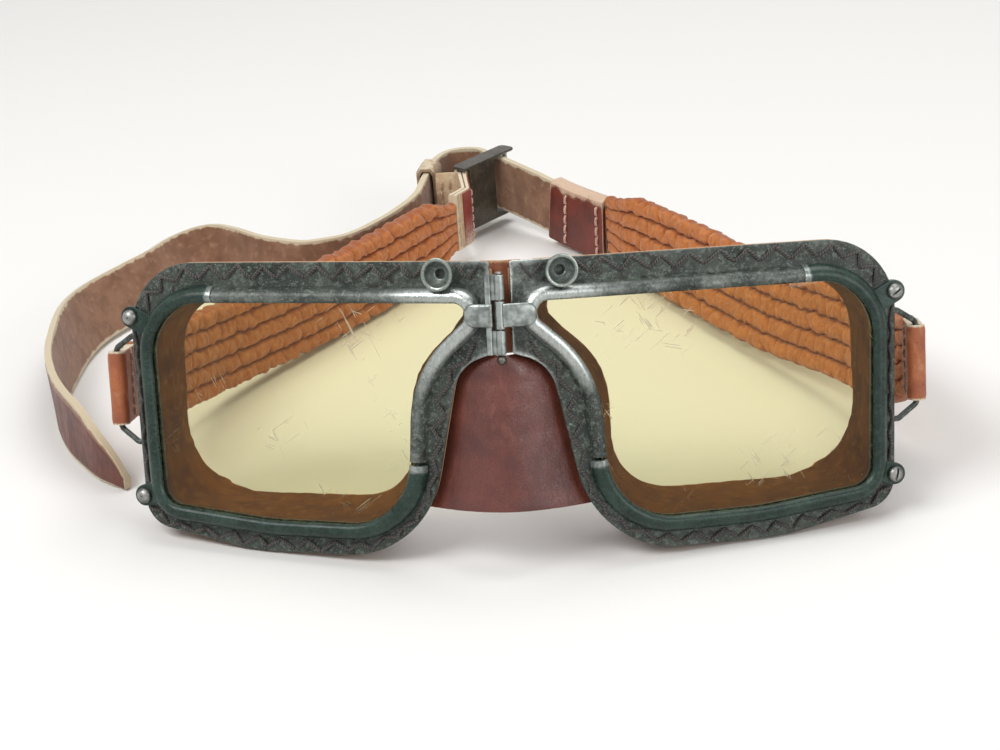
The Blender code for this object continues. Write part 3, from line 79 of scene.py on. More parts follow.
# Mesh helpers
class Shape:
    """Vertices and faces, with a spot (along, across, tone) and a mark (0 to 1) on each vertex."""

    def __init__(self):
        self.points, self.faces, self.spots, self.marks, self.inks = [], [], [], [], []

    def loft(self, rings, spots=None, marks=None, along=False, cap=True, inks=None):
        """A skin through rings of equal point counts; inks gives the look of each column."""
        base, size, rows = len(self.points), len(rings[0]), len(rings)
        for k, ring in enumerate(rings):
            self.points += [Vector(p) for p in ring]
            self.spots += spots[k] if spots else [(k, 0.0, 0.0)] * size
            self.marks += marks[k] if marks else [0.0] * size
        for k in range(rows if along else rows - 1):
            low, high = base + k * size, base + (k + 1) % rows * size
            for j in range(size):
                after = (j + 1) % size
                self.faces.append((low + j, low + after, high + after, high + j))
                self.inks.append(inks[j] if inks else 0)
        if cap and not along:
            self.faces.append(tuple(range(base + size - 1, base - 1, -1)))
            self.faces.append(tuple(range(base + (rows - 1) * size, base + rows * size)))
            self.inks += [0, 0]
        return self

    def rows(self, rows, **how):
        """A skin through rows of (point, spot, mark)."""
        return self.loft(*([[item[k] for item in row] for row in rows] for k in range(3)), **how)

    def add(self, other, place=None):
        """Another shape, placed by a matrix."""
        base = len(self.points)
        self.points += [place @ p if place else p for p in other.points]
        self.spots += other.spots
        self.marks += other.marks
        self.faces += [tuple(base + k for k in f) for f in other.faces]
        self.inks += other.inks
        return self

    def build(self, name, skin, nodes=(), body="headband", place=None, sharp=45.0, slot=None):
        """The finished piece, riding on its body and standing for its CAD nodes."""
        mesh = bpy.data.meshes.new(name)
        whole = to_metres @ (place or band_place)
        mesh.from_pydata([whole @ p for p in self.points], [], self.faces)
        spot = mesh.attributes.new("spot", "FLOAT_VECTOR", "POINT")
        spot.data.foreach_set("vector", [c for s in self.spots for c in s])
        mark = mesh.attributes.new("mark", "FLOAT", "POINT")
        mark.data.foreach_set("value", self.marks)
        work = bmesh.new()
        work.from_mesh(mesh)
        bmesh.ops.recalc_face_normals(work, faces=work.faces)
        work.to_mesh(mesh)
        work.free()
        mesh.shade_smooth()
        mesh.set_sharp_from_angle(angle=math.radians(sharp))
        skins = skin.split()
        for one in skins:
            mesh.materials.append(looks[one])
        mesh.polygons.foreach_set("material_index", self.inks)
        made = bpy.data.objects.new(name, mesh)
        bpy.context.scene.collection.objects.link(made)
        if body:
            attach(made, body)
        if nodes:
            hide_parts(*nodes)
            slot = slot or skins[0]
        return made


def rounded(corners, turn_step=5.0, spacing=3.0):
    """A closed outline with rounded corners (x, y, radius), its long sides divided."""
    arcs = []
    for k, (x, y, radius) in enumerate(corners):
        corner = Vector((x, y))
        before = (Vector(corners[k - 1][:2]) - corner).normalized()
        after = (Vector(corners[(k + 1) % len(corners)][:2]) - corner).normalized()
        opening = before.angle(after)
        centre = corner + (before + after).normalized() * (radius / math.sin(opening / 2))
        start = corner + before * (radius / math.tan(opening / 2)) - centre
        turn = math.pi - opening
        side = 1.0 if start.x * before.y - start.y * before.x < 0 else -1.0
        count = max(3, math.ceil(math.degrees(turn) / turn_step))
        arcs += [centre + Matrix.Rotation(side * turn * s / count, 2) @ start
                 for s in range(count + 1)]
    dense = []
    for k, here in enumerate(arcs):
        there = arcs[(k + 1) % len(arcs)]
        count = max(1, math.ceil((there - here).length / spacing))
        if (there - here).length > 0.001:
            dense += [here.lerp(there, s / count) for s in range(count)]
    return dense


def lengths(points, closed=False):
    """Running length at each point."""
    marks = [0.0]
    for here, there in zip(points, points[1:] + (points[:1] if closed else [])):
        marks.append(marks[-1] + (there - here).length)
    return marks


def at(points, marks, distance):
    """The point at a distance along a line."""
    low, high = 0, len(marks) - 1
    while high - low > 1:
        middle = (low + high) // 2
        low, high = (middle, high) if marks[middle] <= distance else (low, middle)
    part = (distance - marks[low]) / max(marks[low + 1] - marks[low], 1e-9)
    return points[low].lerp(points[(low + 1) % len(points)], part)


def resampled(points, spacing, start=0.0, end=1.0):
    """Even points between two shares of a closed line's length."""
    marks = lengths(points, True)
    total = marks[-1]
    count = max(2, math.ceil((end - start) * total / spacing))
    return [at(points, marks, (start + (end - start) * k / count) % 1.0 * total)
            for k in range(count + 1)]


def ways_out(points, closed=True):
    """Unit vectors that point out of a clockwise outline."""
    ways = []
    for k in range(len(points)):
        before = points[k - 1] if closed or k else points[k]
        after = points[(k + 1) % len(points)] if closed or k < len(points) - 1 else points[k]
        along = (after - before).normalized()
        ways.append(Vector((-along.y, along.x)))
    return ways


def nearest(points, spot):
    """The closest point of a closed outline and its share of the length."""
    marks = lengths(points, True)
    best = (1e9, None, 0.0)
    for k, here in enumerate(points):
        edge = points[(k + 1) % len(points)] - here
        part = min(1.0, max(0.0, (spot - here).dot(edge) / edge.length_squared))
        found = here + edge * part
        if (spot - found).length < best[0]:
            best = ((spot - found).length, found, (marks[k] + edge.length * part) / marks[-1])
    return best[1], best[2]


no_hit = 1e9


def ray(point, way, outline):
    """Distance from a point along a way to an outline."""
    best = no_hit
    for k, here in enumerate(outline):
        edge = outline[(k + 1) % len(outline)] - here
        cross = way.x * edge.y - way.y * edge.x
        if abs(cross) < 1e-9:
            continue
        offset = here - point
        along = (offset.x * edge.y - offset.y * edge.x) / cross
        share = (offset.x * way.y - offset.y * way.x) / cross
        if along > 0 and 0 <= share <= 1:
            best = min(best, along)
    return best


def bent(corners, radius, count=6):
    """A path through corners, each bent to a radius."""
    spots = [Vector(corners[0])]
    for before, corner, after in zip(corners, corners[1:], corners[2:]):
        before, corner, after = Vector(before), Vector(corner), Vector(after)
        back, on = (before - corner).normalized(), (after - corner).normalized()
        reach = radius / math.tan(back.angle(on) / 2)
        first, last = corner + back * reach, corner + on * reach
        for k in range(count + 1):
            t = k / count
            spots.append(first.lerp(corner, t).lerp(corner.lerp(last, t), t))
    spots.append(Vector(corners[-1]))
    return spots


def step(value, low, high):
    """0 below low, 1 above high, smooth between."""
    share = min(1.0, max(0.0, (value - low) / (high - low)))
    return share * share * (3 - 2 * share)


def wobble(x, y=0.0, z=0.0):
    """Smooth noise from about -1 to 1."""
    return noise.noise(Vector((x, y, z))) * 1.6


def bell(value):
    """A bump of height 1 and width 1."""
    return math.exp(-value ** 2)


def slab(outline, front, back, edge=0.15, mark=0.0, edge_mark=1.0):
    """A plate in the half's plane with softened edges."""
    out = ways_out(outline)
    if sum(a.x * b.y - a.y * b.x for a, b in zip(outline, outline[1:] + outline[:1])) > 0:
        out = [-w for w in out]
    inner = [p - w * edge for p, w in zip(outline, out)]
    levels = ((inner, front, edge_mark), (outline, front + edge, edge_mark),
              (outline, back - edge, mark), (inner, back, mark))
    return Shape().rows([[((p.x, depth, p.y), (p.x, p.y, 0.0), m) for p in ring]
                         for ring, depth, m in levels])


def lathe(profile, marks, steps):
    """A turned ring about Z from (radius, height) points."""
    rings = []
    for k in range(steps):
        turn = 2 * math.pi * k / steps
        rings.append([(r * math.cos(turn), r * math.sin(turn), h) for r, h in profile])
    return Shape().loft(rings, None, [list(marks)] * steps, along=True)


def capped_lathe(profile, steps=32, marks=None):
    """A turned shape whose profile starts and ends on the axis."""
    shape = Shape()
    rows = profile[1:-1]
    rings = [[(r * math.cos(2 * math.pi * k / steps), r * math.sin(2 * math.pi * k / steps), h)
              for k in range(steps)] for r, h in rows]
    shape.loft(rings, None, [[m] * steps for m in marks[1:-1]] if marks else None, cap=False)
    for (_, height), ring, turn in ((profile[0], 0, 1), (profile[-1], len(rows) - 1, -1)):
        centre = len(shape.points)
        shape.points.append(Vector((0.0, 0.0, height)))
        shape.spots.append((0.0, 0.0, 0.0))
        shape.marks.append(0.0)
        for k in range(steps):
            face = (centre, ring * steps + k, ring * steps + (k + 1) % steps)
            shape.faces.append(face[::turn])
            shape.inks.append(0)
    return shape


def tube(path, radius, sides=10, ends=True, shrink=None):
    """A round tube along a path, with rounded ends."""
    path = [Vector(p) for p in path]
    if ends:
        first = (path[0] - path[1]).normalized() * radius * 0.5
        last = (path[-1] - path[-2]).normalized() * radius * 0.5
        path = [path[0] + first] + path + [path[-1] + last]
    rings, spots = [], []
    normal = None
    marks = lengths(path)
    for k, spot in enumerate(path):
        along = (path[min(k + 1, len(path) - 1)] - path[max(k - 1, 0)]).normalized()
        if normal is None:
            normal = along.orthogonal().normalized()
        normal = (normal - along * normal.dot(along)).normalized()
        side = along.cross(normal)
        size = radius * (shrink(k / (len(path) - 1)) if shrink else 1.0)
        if ends and k in (0, len(path) - 1):
            size *= 0.55
        turns = [2 * math.pi * j / sides for j in range(sides)]
        rings.append([spot + normal * (size * math.cos(t)) + side * (size * math.sin(t))
                      for t in turns])
        spots.append([(marks[k], j / sides, 0.0) for j in range(sides)])
    return Shape().loft(rings, spots)


def facing(centre, depth):
    """Turns a shape's +Z towards the front, at a place in the half."""
    return Matrix.Translation((centre[0], depth, centre[1])) @ Matrix.Rotation(
        math.pi / 2, 4, "X")


def seam(spot, low, count, pitch, long, lift):
    """Stitches one above the other at a spot in the plan: foot, head and way out of each."""
    return [(Vector((*spot, z)), Vector((*spot, z + long)), Vector((*lift, 0.0)))
            for z in (low + k * pitch for k in range(count))]


def stitch_row(places, radius):
    """Short proud stitches, each from its foot to its head."""
    shape = Shape()
    for a, b, lift in places:
        path = [a - lift * 0.5, a.lerp(b, 0.12) + lift * 0.7, a.lerp(b, 0.5) + lift,
                a.lerp(b, 0.88) + lift * 0.7, b - lift * 0.5]
        shape.add(tube(path, radius, 8, ends=False))
    return shape


# Materials
class Nodes:
    """Short calls for the nodes of one tree."""

    def __init__(self, tree):
        self.tree = tree

    def put(self, node, key, value):
        """Set an input, or link a socket to it."""
        socket = node.inputs[key]
        if isinstance(value, bpy.types.NodeSocket):
            self.tree.links.new(value, socket)
        elif socket.type == "RGBA":
            socket.default_value = (*value, 1.0)
        else:
            socket.default_value = value

    def node(self, kind, inputs=(), **props):
        """A node with its properties and inputs."""
        made = self.tree.nodes.new("ShaderNode" + kind)
        for key, value in props.items():
            setattr(made, key, value)
        for key, value in dict(inputs).items():
            self.put(made, key, value)
        return made

    def math(self, operation, a, b=0.0):
        """One Math node."""
        return self.node("Math", {0: a, 1: b}, operation=operation).outputs[0]

    def plus(self, a, b, scale):
        """a plus a scaled b."""
        return self.math("ADD", a, self.math("MULTIPLY", b, scale))

    def seen(self):
        """1 on camera, transmission and glossy rays, 0 on the rest."""
        rays = self.node("LightPath").outputs
        straight = self.math("MAXIMUM", rays["Is Camera Ray"], rays["Is Transmission Ray"])
        return self.math("MAXIMUM", straight, rays["Is Glossy Ray"])


class Look(Nodes):
    """A Principled material and short calls for its nodes."""

    def __init__(self, name, **sockets):
        self.material = bpy.data.materials.new(name)
        self.material.use_nodes = True
        super().__init__(self.material.node_tree)
        self.shader = self.tree.nodes["Principled BSDF"]
        for key, value in sockets.items():
            self.put(self.shader, key.replace("_", " "), value)

    def place(self, stretch=(1.0, 1.0, 1.0), turn=(0.0, 0.0, 0.0)):
        """Object coordinates in millimetres, stretched and turned."""
        coords = self.node("TexCoord").outputs["Object"]
        scale = tuple(1000.0 * s for s in stretch)
        return self.node("Mapping", {"Vector": coords, "Scale": scale, "Rotation": turn}).outputs[0]

    def attribute(self, name):
        """A mesh attribute: spot's three parts, or mark."""
        made = self.node("Attribute", attribute_name=name)
        if name == "mark":
            return made.outputs["Fac"]
        return self.node("SeparateXYZ", {0: made.outputs["Vector"]}).outputs

    def noise(self, size, detail=3.0, vector=None, rough=0.5):
        """Noise whose features are about size millimetres."""
        vector = vector or self.place()
        return self.node("TexNoise", {"Vector": vector, "Scale": 1.0 / size, "Detail": detail,
                                      "Roughness": rough}).outputs[0]

    def cells(self, size):
        """Distance to the borders of cells about size millimetres wide."""
        return self.node("TexVoronoi", {"Vector": self.place(), "Scale": 1.0 / size},
                         feature="DISTANCE_TO_EDGE").outputs["Distance"]

    def ramp(self, value, low, high, out_low=0.0, out_high=1.0):
        """A smooth step from out_low to out_high."""
        return self.node("MapRange", {"Value": value, "From Min": low, "From Max": high,
                                      "To Min": out_low, "To Max": out_high},
                         interpolation_type="SMOOTHSTEP").outputs[0]

    def mix(self, share, a, b):
        """Two colours mixed."""
        return self.node("Mix", {0: share, 6: a, 7: b}, data_type="RGBA").outputs[2]

    def bump(self, height, strength, distance, before=None):
        """A bump, distance in millimetres."""
        made = self.node("Bump", {"Height": height, "Strength": strength,
                                  "Distance": distance * 0.001})
        if before is not None:
            self.put(made, "Normal", before)
        return made.outputs[0]

    def finish(self, colour, rough=None, normal=None, metal=None):
        """Link the made values to the shader."""
        for key, value in (("Base Color", colour), ("Roughness", rough), ("Normal", normal),
                           ("Metallic", metal)):
            if value is not None:
                self.put(self.shader, key, value)
        return self.material


def times(colour, factor):
    """A colour made lighter or darker."""
    return tuple(c * factor for c in colour)


bare_steel = (0.44, 0.47, 0.45)


def painted(name, dark, light, bare=bare_steel, shine=0.34, wear=0.0, mottle=1.0):
    """Worn paint over steel; the mark says where the paint is thin."""
    look = Look(name, Specular_IOR_Level=0.32)
    cloud = look.noise(9.0, 4.0)
    fine = look.noise(0.9, 6.0, rough=0.65)
    grime = look.noise(2.6, 5.0)
    blotch = look.noise(1.5, 5.0, rough=0.7)
    speck = look.noise(0.5, 4.0, rough=0.7)
    paint = look.mix(look.ramp(cloud, 0.35, 0.68), dark, light)
    for share, low, high, most, colour in (
            (grime, 0.50, 0.66, 0.75, (0.013, 0.011, 0.008)),
            (blotch, 0.52, 0.62, 0.6, times(light, 2.6)),
            (speck, 0.58, 0.66, 0.8, times(light, 4.2))):
        paint = look.mix(look.ramp(share, low, high, 0.0, most * mottle), paint, colour)
    worn = look.math("ADD", look.attribute("mark"), wear)
    worn = look.plus(worn, fine, 0.5)
    worn = look.plus(worn, cloud, 0.7)
    thin = look.ramp(worn, 0.88, 1.6)
    metal_tone = look.mix(look.ramp(look.noise(0.5, 3.0, look.place((1.0, 1.0, 0.18))), 0.3, 0.7),
                          times(bare, 0.8), bare)
    colour = look.mix(thin, paint, metal_tone)
    rough = look.plus(look.ramp(fine, 0.3, 0.7, shine - 0.06, shine + 0.14), thin, -0.08)
    height = look.math("ADD", look.math("MULTIPLY", fine, 0.5), look.noise(3.5, 3.0))
    normal = look.bump(look.plus(height, blotch, 1.2 * mottle), 0.7, 0.13)
    return look.finish(colour, rough, normal, look.ramp(thin, 0.05, 0.9, 0.04, 0.92))


def steel(name, dark, light, shine=0.3):
    """Bare or blackened steel with fine rubbing marks."""
    look = Look(name, Metallic=0.92)
    rub = look.noise(0.28, 4.0, look.place((1.0, 1.0, 0.22)))
    cloud = look.noise(2.2, 4.0)
    share = look.plus(look.ramp(cloud, 0.35, 0.7, 0.0, 0.75), look.attribute("mark"), 0.8)
    colour = look.mix(share, dark, light)
    rough = look.ramp(rub, 0.25, 0.75, shine, shine + 0.2)
    return look.finish(colour, rough, look.bump(rub, 0.3, 0.03))


def suede(name, dark, base, light, edge, fuzz, nap):
    """Napped leather: soft fibres, cloudy colour, pale cut edges where the mark is 1."""
    look = Look(name, Sheen_Weight=fuzz, Sheen_Roughness=0.45, Specular_IOR_Level=0.25)
    cloud = look.noise(7.0, 5.0, rough=0.6)
    patch = look.noise(2.2, 4.0)
    fibre = look.noise(nap, 5.0, rough=0.7)
    colour = look.mix(look.ramp(cloud, 0.32, 0.7), base, dark)
    colour = look.mix(look.ramp(patch, 0.5, 0.78, 0.0, 0.7), colour, light)
    colour = look.mix(look.ramp(fibre, 0.3, 0.75, 0.0, 0.35), colour, times(base, 0.55))
    cut = look.math("ADD", look.attribute("mark"), look.ramp(patch, 0.3, 0.7, -0.25, 0.12))
    colour = look.mix(look.ramp(cut, 0.45, 0.85), colour, edge)
    height = look.math("ADD", look.math("MULTIPLY", fibre, 0.7), patch)
    return look.finish(colour, look.ramp(fibre, 0.2, 0.8, 0.82, 0.97),
                       look.bump(height, 0.6, 0.16))


def gathered(name, deep, base, crown):
    """Napped leather gathered in folds: spot's third part says how proud the surface is; low places
    take the deep colour as painted shade.
    """
    look = Look(name, Sheen_Weight=0.25, Sheen_Roughness=0.5, Specular_IOR_Level=0.25)
    proud = look.attribute("spot")[2]
    cloud = look.noise(6.0, 4.0, rough=0.6)
    patch = look.noise(1.7, 5.0, rough=0.65)
    fibre = look.noise(0.2, 5.0, rough=0.7)
    colour = look.mix(look.ramp(cloud, 0.3, 0.7, 0.0, 0.55), base, times(base, 0.72))
    colour = look.mix(look.ramp(patch, 0.46, 0.72, 0.0, 0.75), colour, crown)
    # Painted shade: darker where the surface is low, in the creases and in the grooves between
    # channels.
    colour = look.mix(look.ramp(proud, 0.25, 0.8, 0.85, 0.0), colour, deep)
    colour = look.mix(look.ramp(fibre, 0.3, 0.75, 0.0, 0.3), colour, times(base, 0.6))
    height = look.math("ADD", look.math("MULTIPLY", fibre, 0.6), patch)
    return look.finish(colour, look.ramp(fibre, 0.2, 0.8, 0.8, 0.96),
                       look.bump(height, 0.7, 0.3))


def grain(name, dark, base, light, edge, shine=0.38, size=0.75, creases=0.0):
    """Smooth grained leather with pores, creases and pale cut edges."""
    look = Look(name, Specular_IOR_Level=0.5, Coat_Weight=0.12, Coat_Roughness=0.3)
    cloud = look.noise(8.0, 4.0)
    fine = look.noise(0.35, 5.0, rough=0.65)
    pores = look.cells(size)
    wrinkle = look.noise(1.6, 5.0, look.place((1.0, 1.0, 0.35)))
    colour = look.mix(look.ramp(cloud, 0.3, 0.7), dark, base)
    # Lighter where spot's third part and the crease noise are high: random rubbing, and on the nose
    # leather a painted highlight.
    rub_and_sheen = look.math("ADD", look.attribute("spot")[2], look.ramp(wrinkle, 0.3, 0.8, -0.3, 0.3))
    colour = look.mix(look.ramp(rub_and_sheen, 0.2, 1.0, 0.0, 0.75), colour, light)
    colour = look.mix(look.ramp(pores, 0.0, 0.09, 0.45, 0.0), colour, times(dark, 0.4))
    cut = look.math("ADD", look.attribute("mark"), look.ramp(fine, 0.3, 0.7, -0.2, 0.1))
    colour = look.mix(look.ramp(cut, 0.5, 0.85), colour, edge)
    rough = look.math("ADD", look.ramp(wrinkle, 0.3, 0.7, shine - 0.05, shine + 0.15),
                      look.ramp(look.attribute("mark"), 0.4, 0.9, 0.0, 0.4))
    normal = look.bump(look.plus(look.ramp(pores, 0.0, 0.14), fine, 0.6), 0.4, 0.07)
    if creases:
        normal = look.bump(wrinkle, creases, 0.35, normal)
    return look.finish(colour, rough, normal)


def glass(name, tint):
    """Thin tinted glass with hairline scratches and a little dust."""
    look = Look(name, Base_Color=tint, Transmission_Weight=1.0, IOR=1.5,
                Specular_Tint=(0.35, 0.35, 0.35))
    lines = None
    for turn, stretch, low in ((0.5, 0.055, 0.715), (-0.9, 0.05, 0.725), (1.3, 0.06, 0.73),
                               (2.2, 0.045, 0.735)):
        mapped = look.place((1.0, 1.0, 1.0), (0.0, turn, 0.0))
        streak = look.noise(0.42, 1.0, look.node(
            "Mapping", {"Vector": mapped, "Scale": (1.0, 0.05, stretch)}).outputs[0])
        line = look.ramp(streak, low, low + 0.03)
        lines = look.math("MAXIMUM", lines, line) if lines else line
    gather = look.ramp(look.noise(16.0, 2.0), 0.52, 0.66)
    dust = look.ramp(look.noise(0.55, 4.0, rough=0.7), 0.70, 0.80, 0.0, 0.35)
    marks = look.math("MAXIMUM", look.math("MULTIPLY", lines, gather), dust)
    colour = look.mix(marks, tint, (0.80, 0.78, 0.66))
    rough = look.ramp(marks, 0.0, 1.0, 0.012, 0.6)
    return look.finish(colour, rough, look.bump(marks, 0.3, 0.02))


def thread(name, dark, light):
    """Twisted thread: plies wind round the tube."""
    look = Look(name, Sheen_Weight=0.25, Specular_IOR_Level=0.3)
    spot = look.attribute("spot")
    twist = look.plus(look.math("MULTIPLY", spot[0], 9.0), spot[1], 6.2832 * 2)
    ply = look.math("SINE", twist)
    colour = look.mix(look.ramp(ply, -1.0, 1.0), dark, light)
    colour = look.mix(look.ramp(look.noise(1.3, 4.0), 0.45, 0.75, 0.0, 0.5), colour,
                      times(dark, 0.5))
    return look.finish(colour, 0.72, look.bump(ply, 0.5, 0.12))


looks = {}
for kind, name, *values in (
        (painted, "frame_paint", (0.024, 0.031, 0.026), (0.056, 0.066, 0.056)),
        (painted, "retainer_paint", (0.009, 0.022, 0.017), (0.022, 0.044, 0.034), bare_steel,
         0.28, -0.2, 0.35),
        (painted, "vent_metal", (0.050, 0.062, 0.054), (0.105, 0.125, 0.110),
         (0.30, 0.33, 0.30), 0.34, -0.1, 0.5),
        (painted, "buckle_metal", (0.030, 0.027, 0.022), (0.062, 0.052, 0.038),
         (0.34, 0.31, 0.23), 0.34, -0.2, 0.35),
        (painted, "bail_wire", (0.028, 0.036, 0.032), (0.06, 0.07, 0.062), bare_steel, 0.34, 0.1),
        (steel, "screw_steel", (0.055, 0.058, 0.055), (0.30, 0.30, 0.28)),
        (steel, "nut_steel", (0.10, 0.10, 0.095), (0.30, 0.30, 0.28), 0.4),
        (steel, "hinge_metal", (0.045, 0.052, 0.047), (0.34, 0.37, 0.35)),
        (steel, "pin_metal", (0.07, 0.065, 0.055), (0.32, 0.31, 0.28), 0.28),
        (steel, "spring_steel", (0.30, 0.30, 0.30), (0.55, 0.55, 0.55)),
        (suede, "mask_leather", (0.12, 0.036, 0.003), (0.23, 0.078, 0.006), (0.33, 0.14, 0.020),
         (0.46, 0.24, 0.06), 0.0, 0.3),
        (grain, "mask_outside", (0.085, 0.028, 0.014), (0.16, 0.055, 0.026),
         (0.26, 0.11, 0.055), (0.50, 0.30, 0.15), 0.5, 0.9),
        # The nose leather's light colour carries its painted highlight across the upper middle.
        (grain, "nose_leather", (0.075, 0.016, 0.012), (0.135, 0.033, 0.023),
         (0.21, 0.075, 0.055), (0.46, 0.26, 0.15), 0.33, 0.8, 0.5),
        (grain, "bridge_leather", (0.20, 0.055, 0.022), (0.33, 0.11, 0.040), (0.42, 0.18, 0.08),
         (0.5, 0.3, 0.16), 0.55),
        (grain, "loop_leather", (0.27, 0.068, 0.024), (0.42, 0.125, 0.040), (0.56, 0.27, 0.13),
         (0.64, 0.54, 0.40), 0.5, 0.6),
        # The first colour, deep, is painted shade for the creases and the grooves between channels.
        (gathered, "elastic_leather", (0.28, 0.070, 0.016), (0.53, 0.175, 0.045),
         (0.64, 0.27, 0.095)),
        (suede, "strap_suede", (0.19, 0.092, 0.052), (0.31, 0.165, 0.098), (0.40, 0.24, 0.155),
         (0.58, 0.49, 0.34), 0.3, 0.2),
        (grain, "strap_grain", (0.085, 0.020, 0.013), (0.15, 0.040, 0.024), (0.24, 0.085, 0.055),
         (0.58, 0.49, 0.34), 0.45, 0.6),
        (grain, "patch_leather", (0.095, 0.014, 0.008), (0.175, 0.026, 0.013), (0.26, 0.07, 0.04),
         (0.58, 0.42, 0.30), 0.36, 0.7),
        (suede, "tab_leather", (0.44, 0.28, 0.16), (0.62, 0.46, 0.29), (0.70, 0.57, 0.40),
         (0.66, 0.56, 0.40), 0.12, 0.3),
        (grain, "lining_leather", (0.16, 0.02, 0.014), (0.27, 0.04, 0.025), (0.35, 0.09, 0.05),
         (0.6, 0.5, 0.4), 0.5),
        (suede, "keeper_leather", (0.30, 0.20, 0.125), (0.44, 0.32, 0.21), (0.55, 0.44, 0.31),
         (0.60, 0.50, 0.36), 0.15, 0.25),
        (thread, "lacing_thread", (0.026, 0.022, 0.020), (0.088, 0.076, 0.068)),
        (thread, "stitch_thread", (0.42, 0.34, 0.25), (0.74, 0.66, 0.54)),
        (thread, "patch_thread", (0.46, 0.25, 0.18), (0.80, 0.58, 0.47)),
        (glass, "lens_glass", (0.84, 0.81, 0.52))):
    looks[name] = kind(name, *values)

# Outlines of one half, x outward from the hinge and y up
lens_corners = [(4.58, 2.6, 2.6), (89.38, 2.70, 13.0), (88.18, -46.05, 5.0), (60.5, -49.34, 60.0),
                (24.9, -49.91, 16.0), (22.5, -13.58, 28.0)]
flange_top, flange_foot, lacing_end, band_foot, ear_radius = 12.0, -9.3, 6.1, 4.0, 2.6
flange_corners = [(3.1, flange_top, 0.8), (95.78, 12.10, 17.0), (94.39, -51.33, 7.5),
                  (66.58, -57.34, 50.0), (21.67, -57.91, 25.0), (11.82, -12.22, 10.0),
                  (3.1, flange_foot, 0.8)]
mask_corners = [(9.46, 2.18, 3.0), (90.02, 2.18, 14.0), (90.98, -47.20, 19.0),
                (28.98, -47.20, 17.0), (28.02, -14.52, 18.0)]
lens_line = rounded(lens_corners, 4.0, 2.0)
rear_line = rounded(mask_corners, 4.0, 1.0)
rear_middle = Vector((47.479, -18.516))
flange_line = rounded(flange_corners, 4.0, 0.8)
lens_left, lens_top, lens_wide, lens_tall = 9.3, 2.6, 80.0, 52.2
retainer_start, retainer_end = (nearest(lens_line, Vector(spot))[1] for spot in (
    (lens_left + 0.785 * lens_wide, lens_top), (lens_left, lens_top - 0.735 * lens_tall)))
screw_spots = {"upper": Vector((94.91, -0.88)), "lower": Vector((94.2, -44.51))}
vent_spot = Vector((14.5, 9.4))


def worn_near_bridge(x, y):
    """How bare the metal is, from the hinge outward."""
    away = math.hypot(x, (y + 1.0) * 1.1)
    return 1.05 - step(away, 7.0, 34.0) * 0.95


bead_rows = [(4.6, 2.3, 0.1), (4.1, 2.24, 0.1), (3.78, 1.98, 0.1), (3.56, 1.5, 0.25),
             (3.36, 0.95, 0.45), (3.05, 0.38, 0.6), (2.6, -0.12, 0.8), (2.1, -0.46, 0.95),
             (1.6, -0.6, 1.0), (1.1, -0.57, 0.95), (0.62, -0.4, 0.85), (0.25, -0.12, 0.7),
             (0.03, 0.2, 0.6), (0.05, 0.34, 0.3), (1.9, 0.1, 0.0), (1.9, 2.3, 0.0),
             (0.1, 2.3, 0.0), (0.0, 2.4, 0.0), (0.0, 3.1, 0.0)]
flat_rows = [(4.6, 2.3, 0.1), (3.4, 2.3, 0.1), (1.2, 2.3, 0.0), (0.1, 2.3, 0.0),
             (0.0, 2.4, 0.0), (0.0, 3.1, 0.0)]


def frame_shape():
    """Flange and rolled bead as one pressed skin, with its ears."""
    stands = [(spot, *nearest(lens_line, spot)) for spot in flange_line]
    inside = [retainer_start < share < retainer_end for _, _, share in stands]
    start = next(k for k in range(len(inside)) if inside[k] and not inside[k - 1])
    order = stands[start:] + stands[:start]
    turn = (inside[start:] + inside[:start]).index(False)
    shape = Shape()
    for part, profile in ((order[:turn + 1], flat_rows), (order[turn:] + order[:1], bead_rows)):
        rows = []
        for spot, foot, _ in part:
            out, reach = (spot - foot).normalized(), (spot - foot).length
            dished = flange_front + 0.12 * wobble(spot.x / 7, spot.y / 7)
            row = []
            for d, w, edge in [(reach - 0.2, flange_back, 0.0), (reach, flange_back - 0.2, 0.3),
                               (reach, flange_front + 0.2, 0.55), (reach - 0.2, flange_front, 0.5),
                               (reach * 0.7 + 1.38, dished, 0.15),
                               (reach * 0.35 + 2.99, dished, 0.1)] + profile:
                p = foot + out * d
                bare = edge * 0.42 + worn_near_bridge(p.x, p.y) * (0.35 + 0.65 * edge) - 0.1
                row.append(((p.x, w, p.y), (p.x, p.y, edge), max(0.0, bare)))
            rows.append(row)
        shape.rows(rows)
    for spot in screw_spots.values():
        shape.add(ear_shape(spot, flange_front + 0.04, flange_back - 0.04))
    return shape


def ear_shape(spot, front, back):
    """A round ear about a screw, with its root at the band."""
    foot, _ = nearest(lens_line, spot)
    out = (spot - foot).normalized()
    across = Vector((-out.y, out.x))
    root = foot + out * 3.0
    base = math.atan2(across.y, across.x)
    round_end = [spot + Vector((math.cos(base - t), math.sin(base - t))) * ear_radius
                 for t in (math.pi * k / 24 for k in range(25))]
    return slab([root + across * ear_radius, *round_end, root - across * ear_radius],
                front, back, 0.12, 0.1, 0.45)


retainer_rows = [(4.0, 2.0, 0.2), (4.0, 1.3, 0.5), (3.86, 0.95, 0.5), (3.62, 0.42, 0.4),
                 (3.25, -0.12, 0.4), (2.8, -0.58, 0.5), (2.3, -0.88, 0.6), (1.75, -1.04, 0.7),
                 (1.2, -1.05, 0.7), (0.7, -0.88, 0.6), (0.3, -0.52, 0.6), (0.05, -0.1, 0.6),
                 (0.02, 0.12, 0.7), (0.1, 0.2, 0.3), (1.9, 0.1, 0.0), (1.9, 2.0, 0.0)]


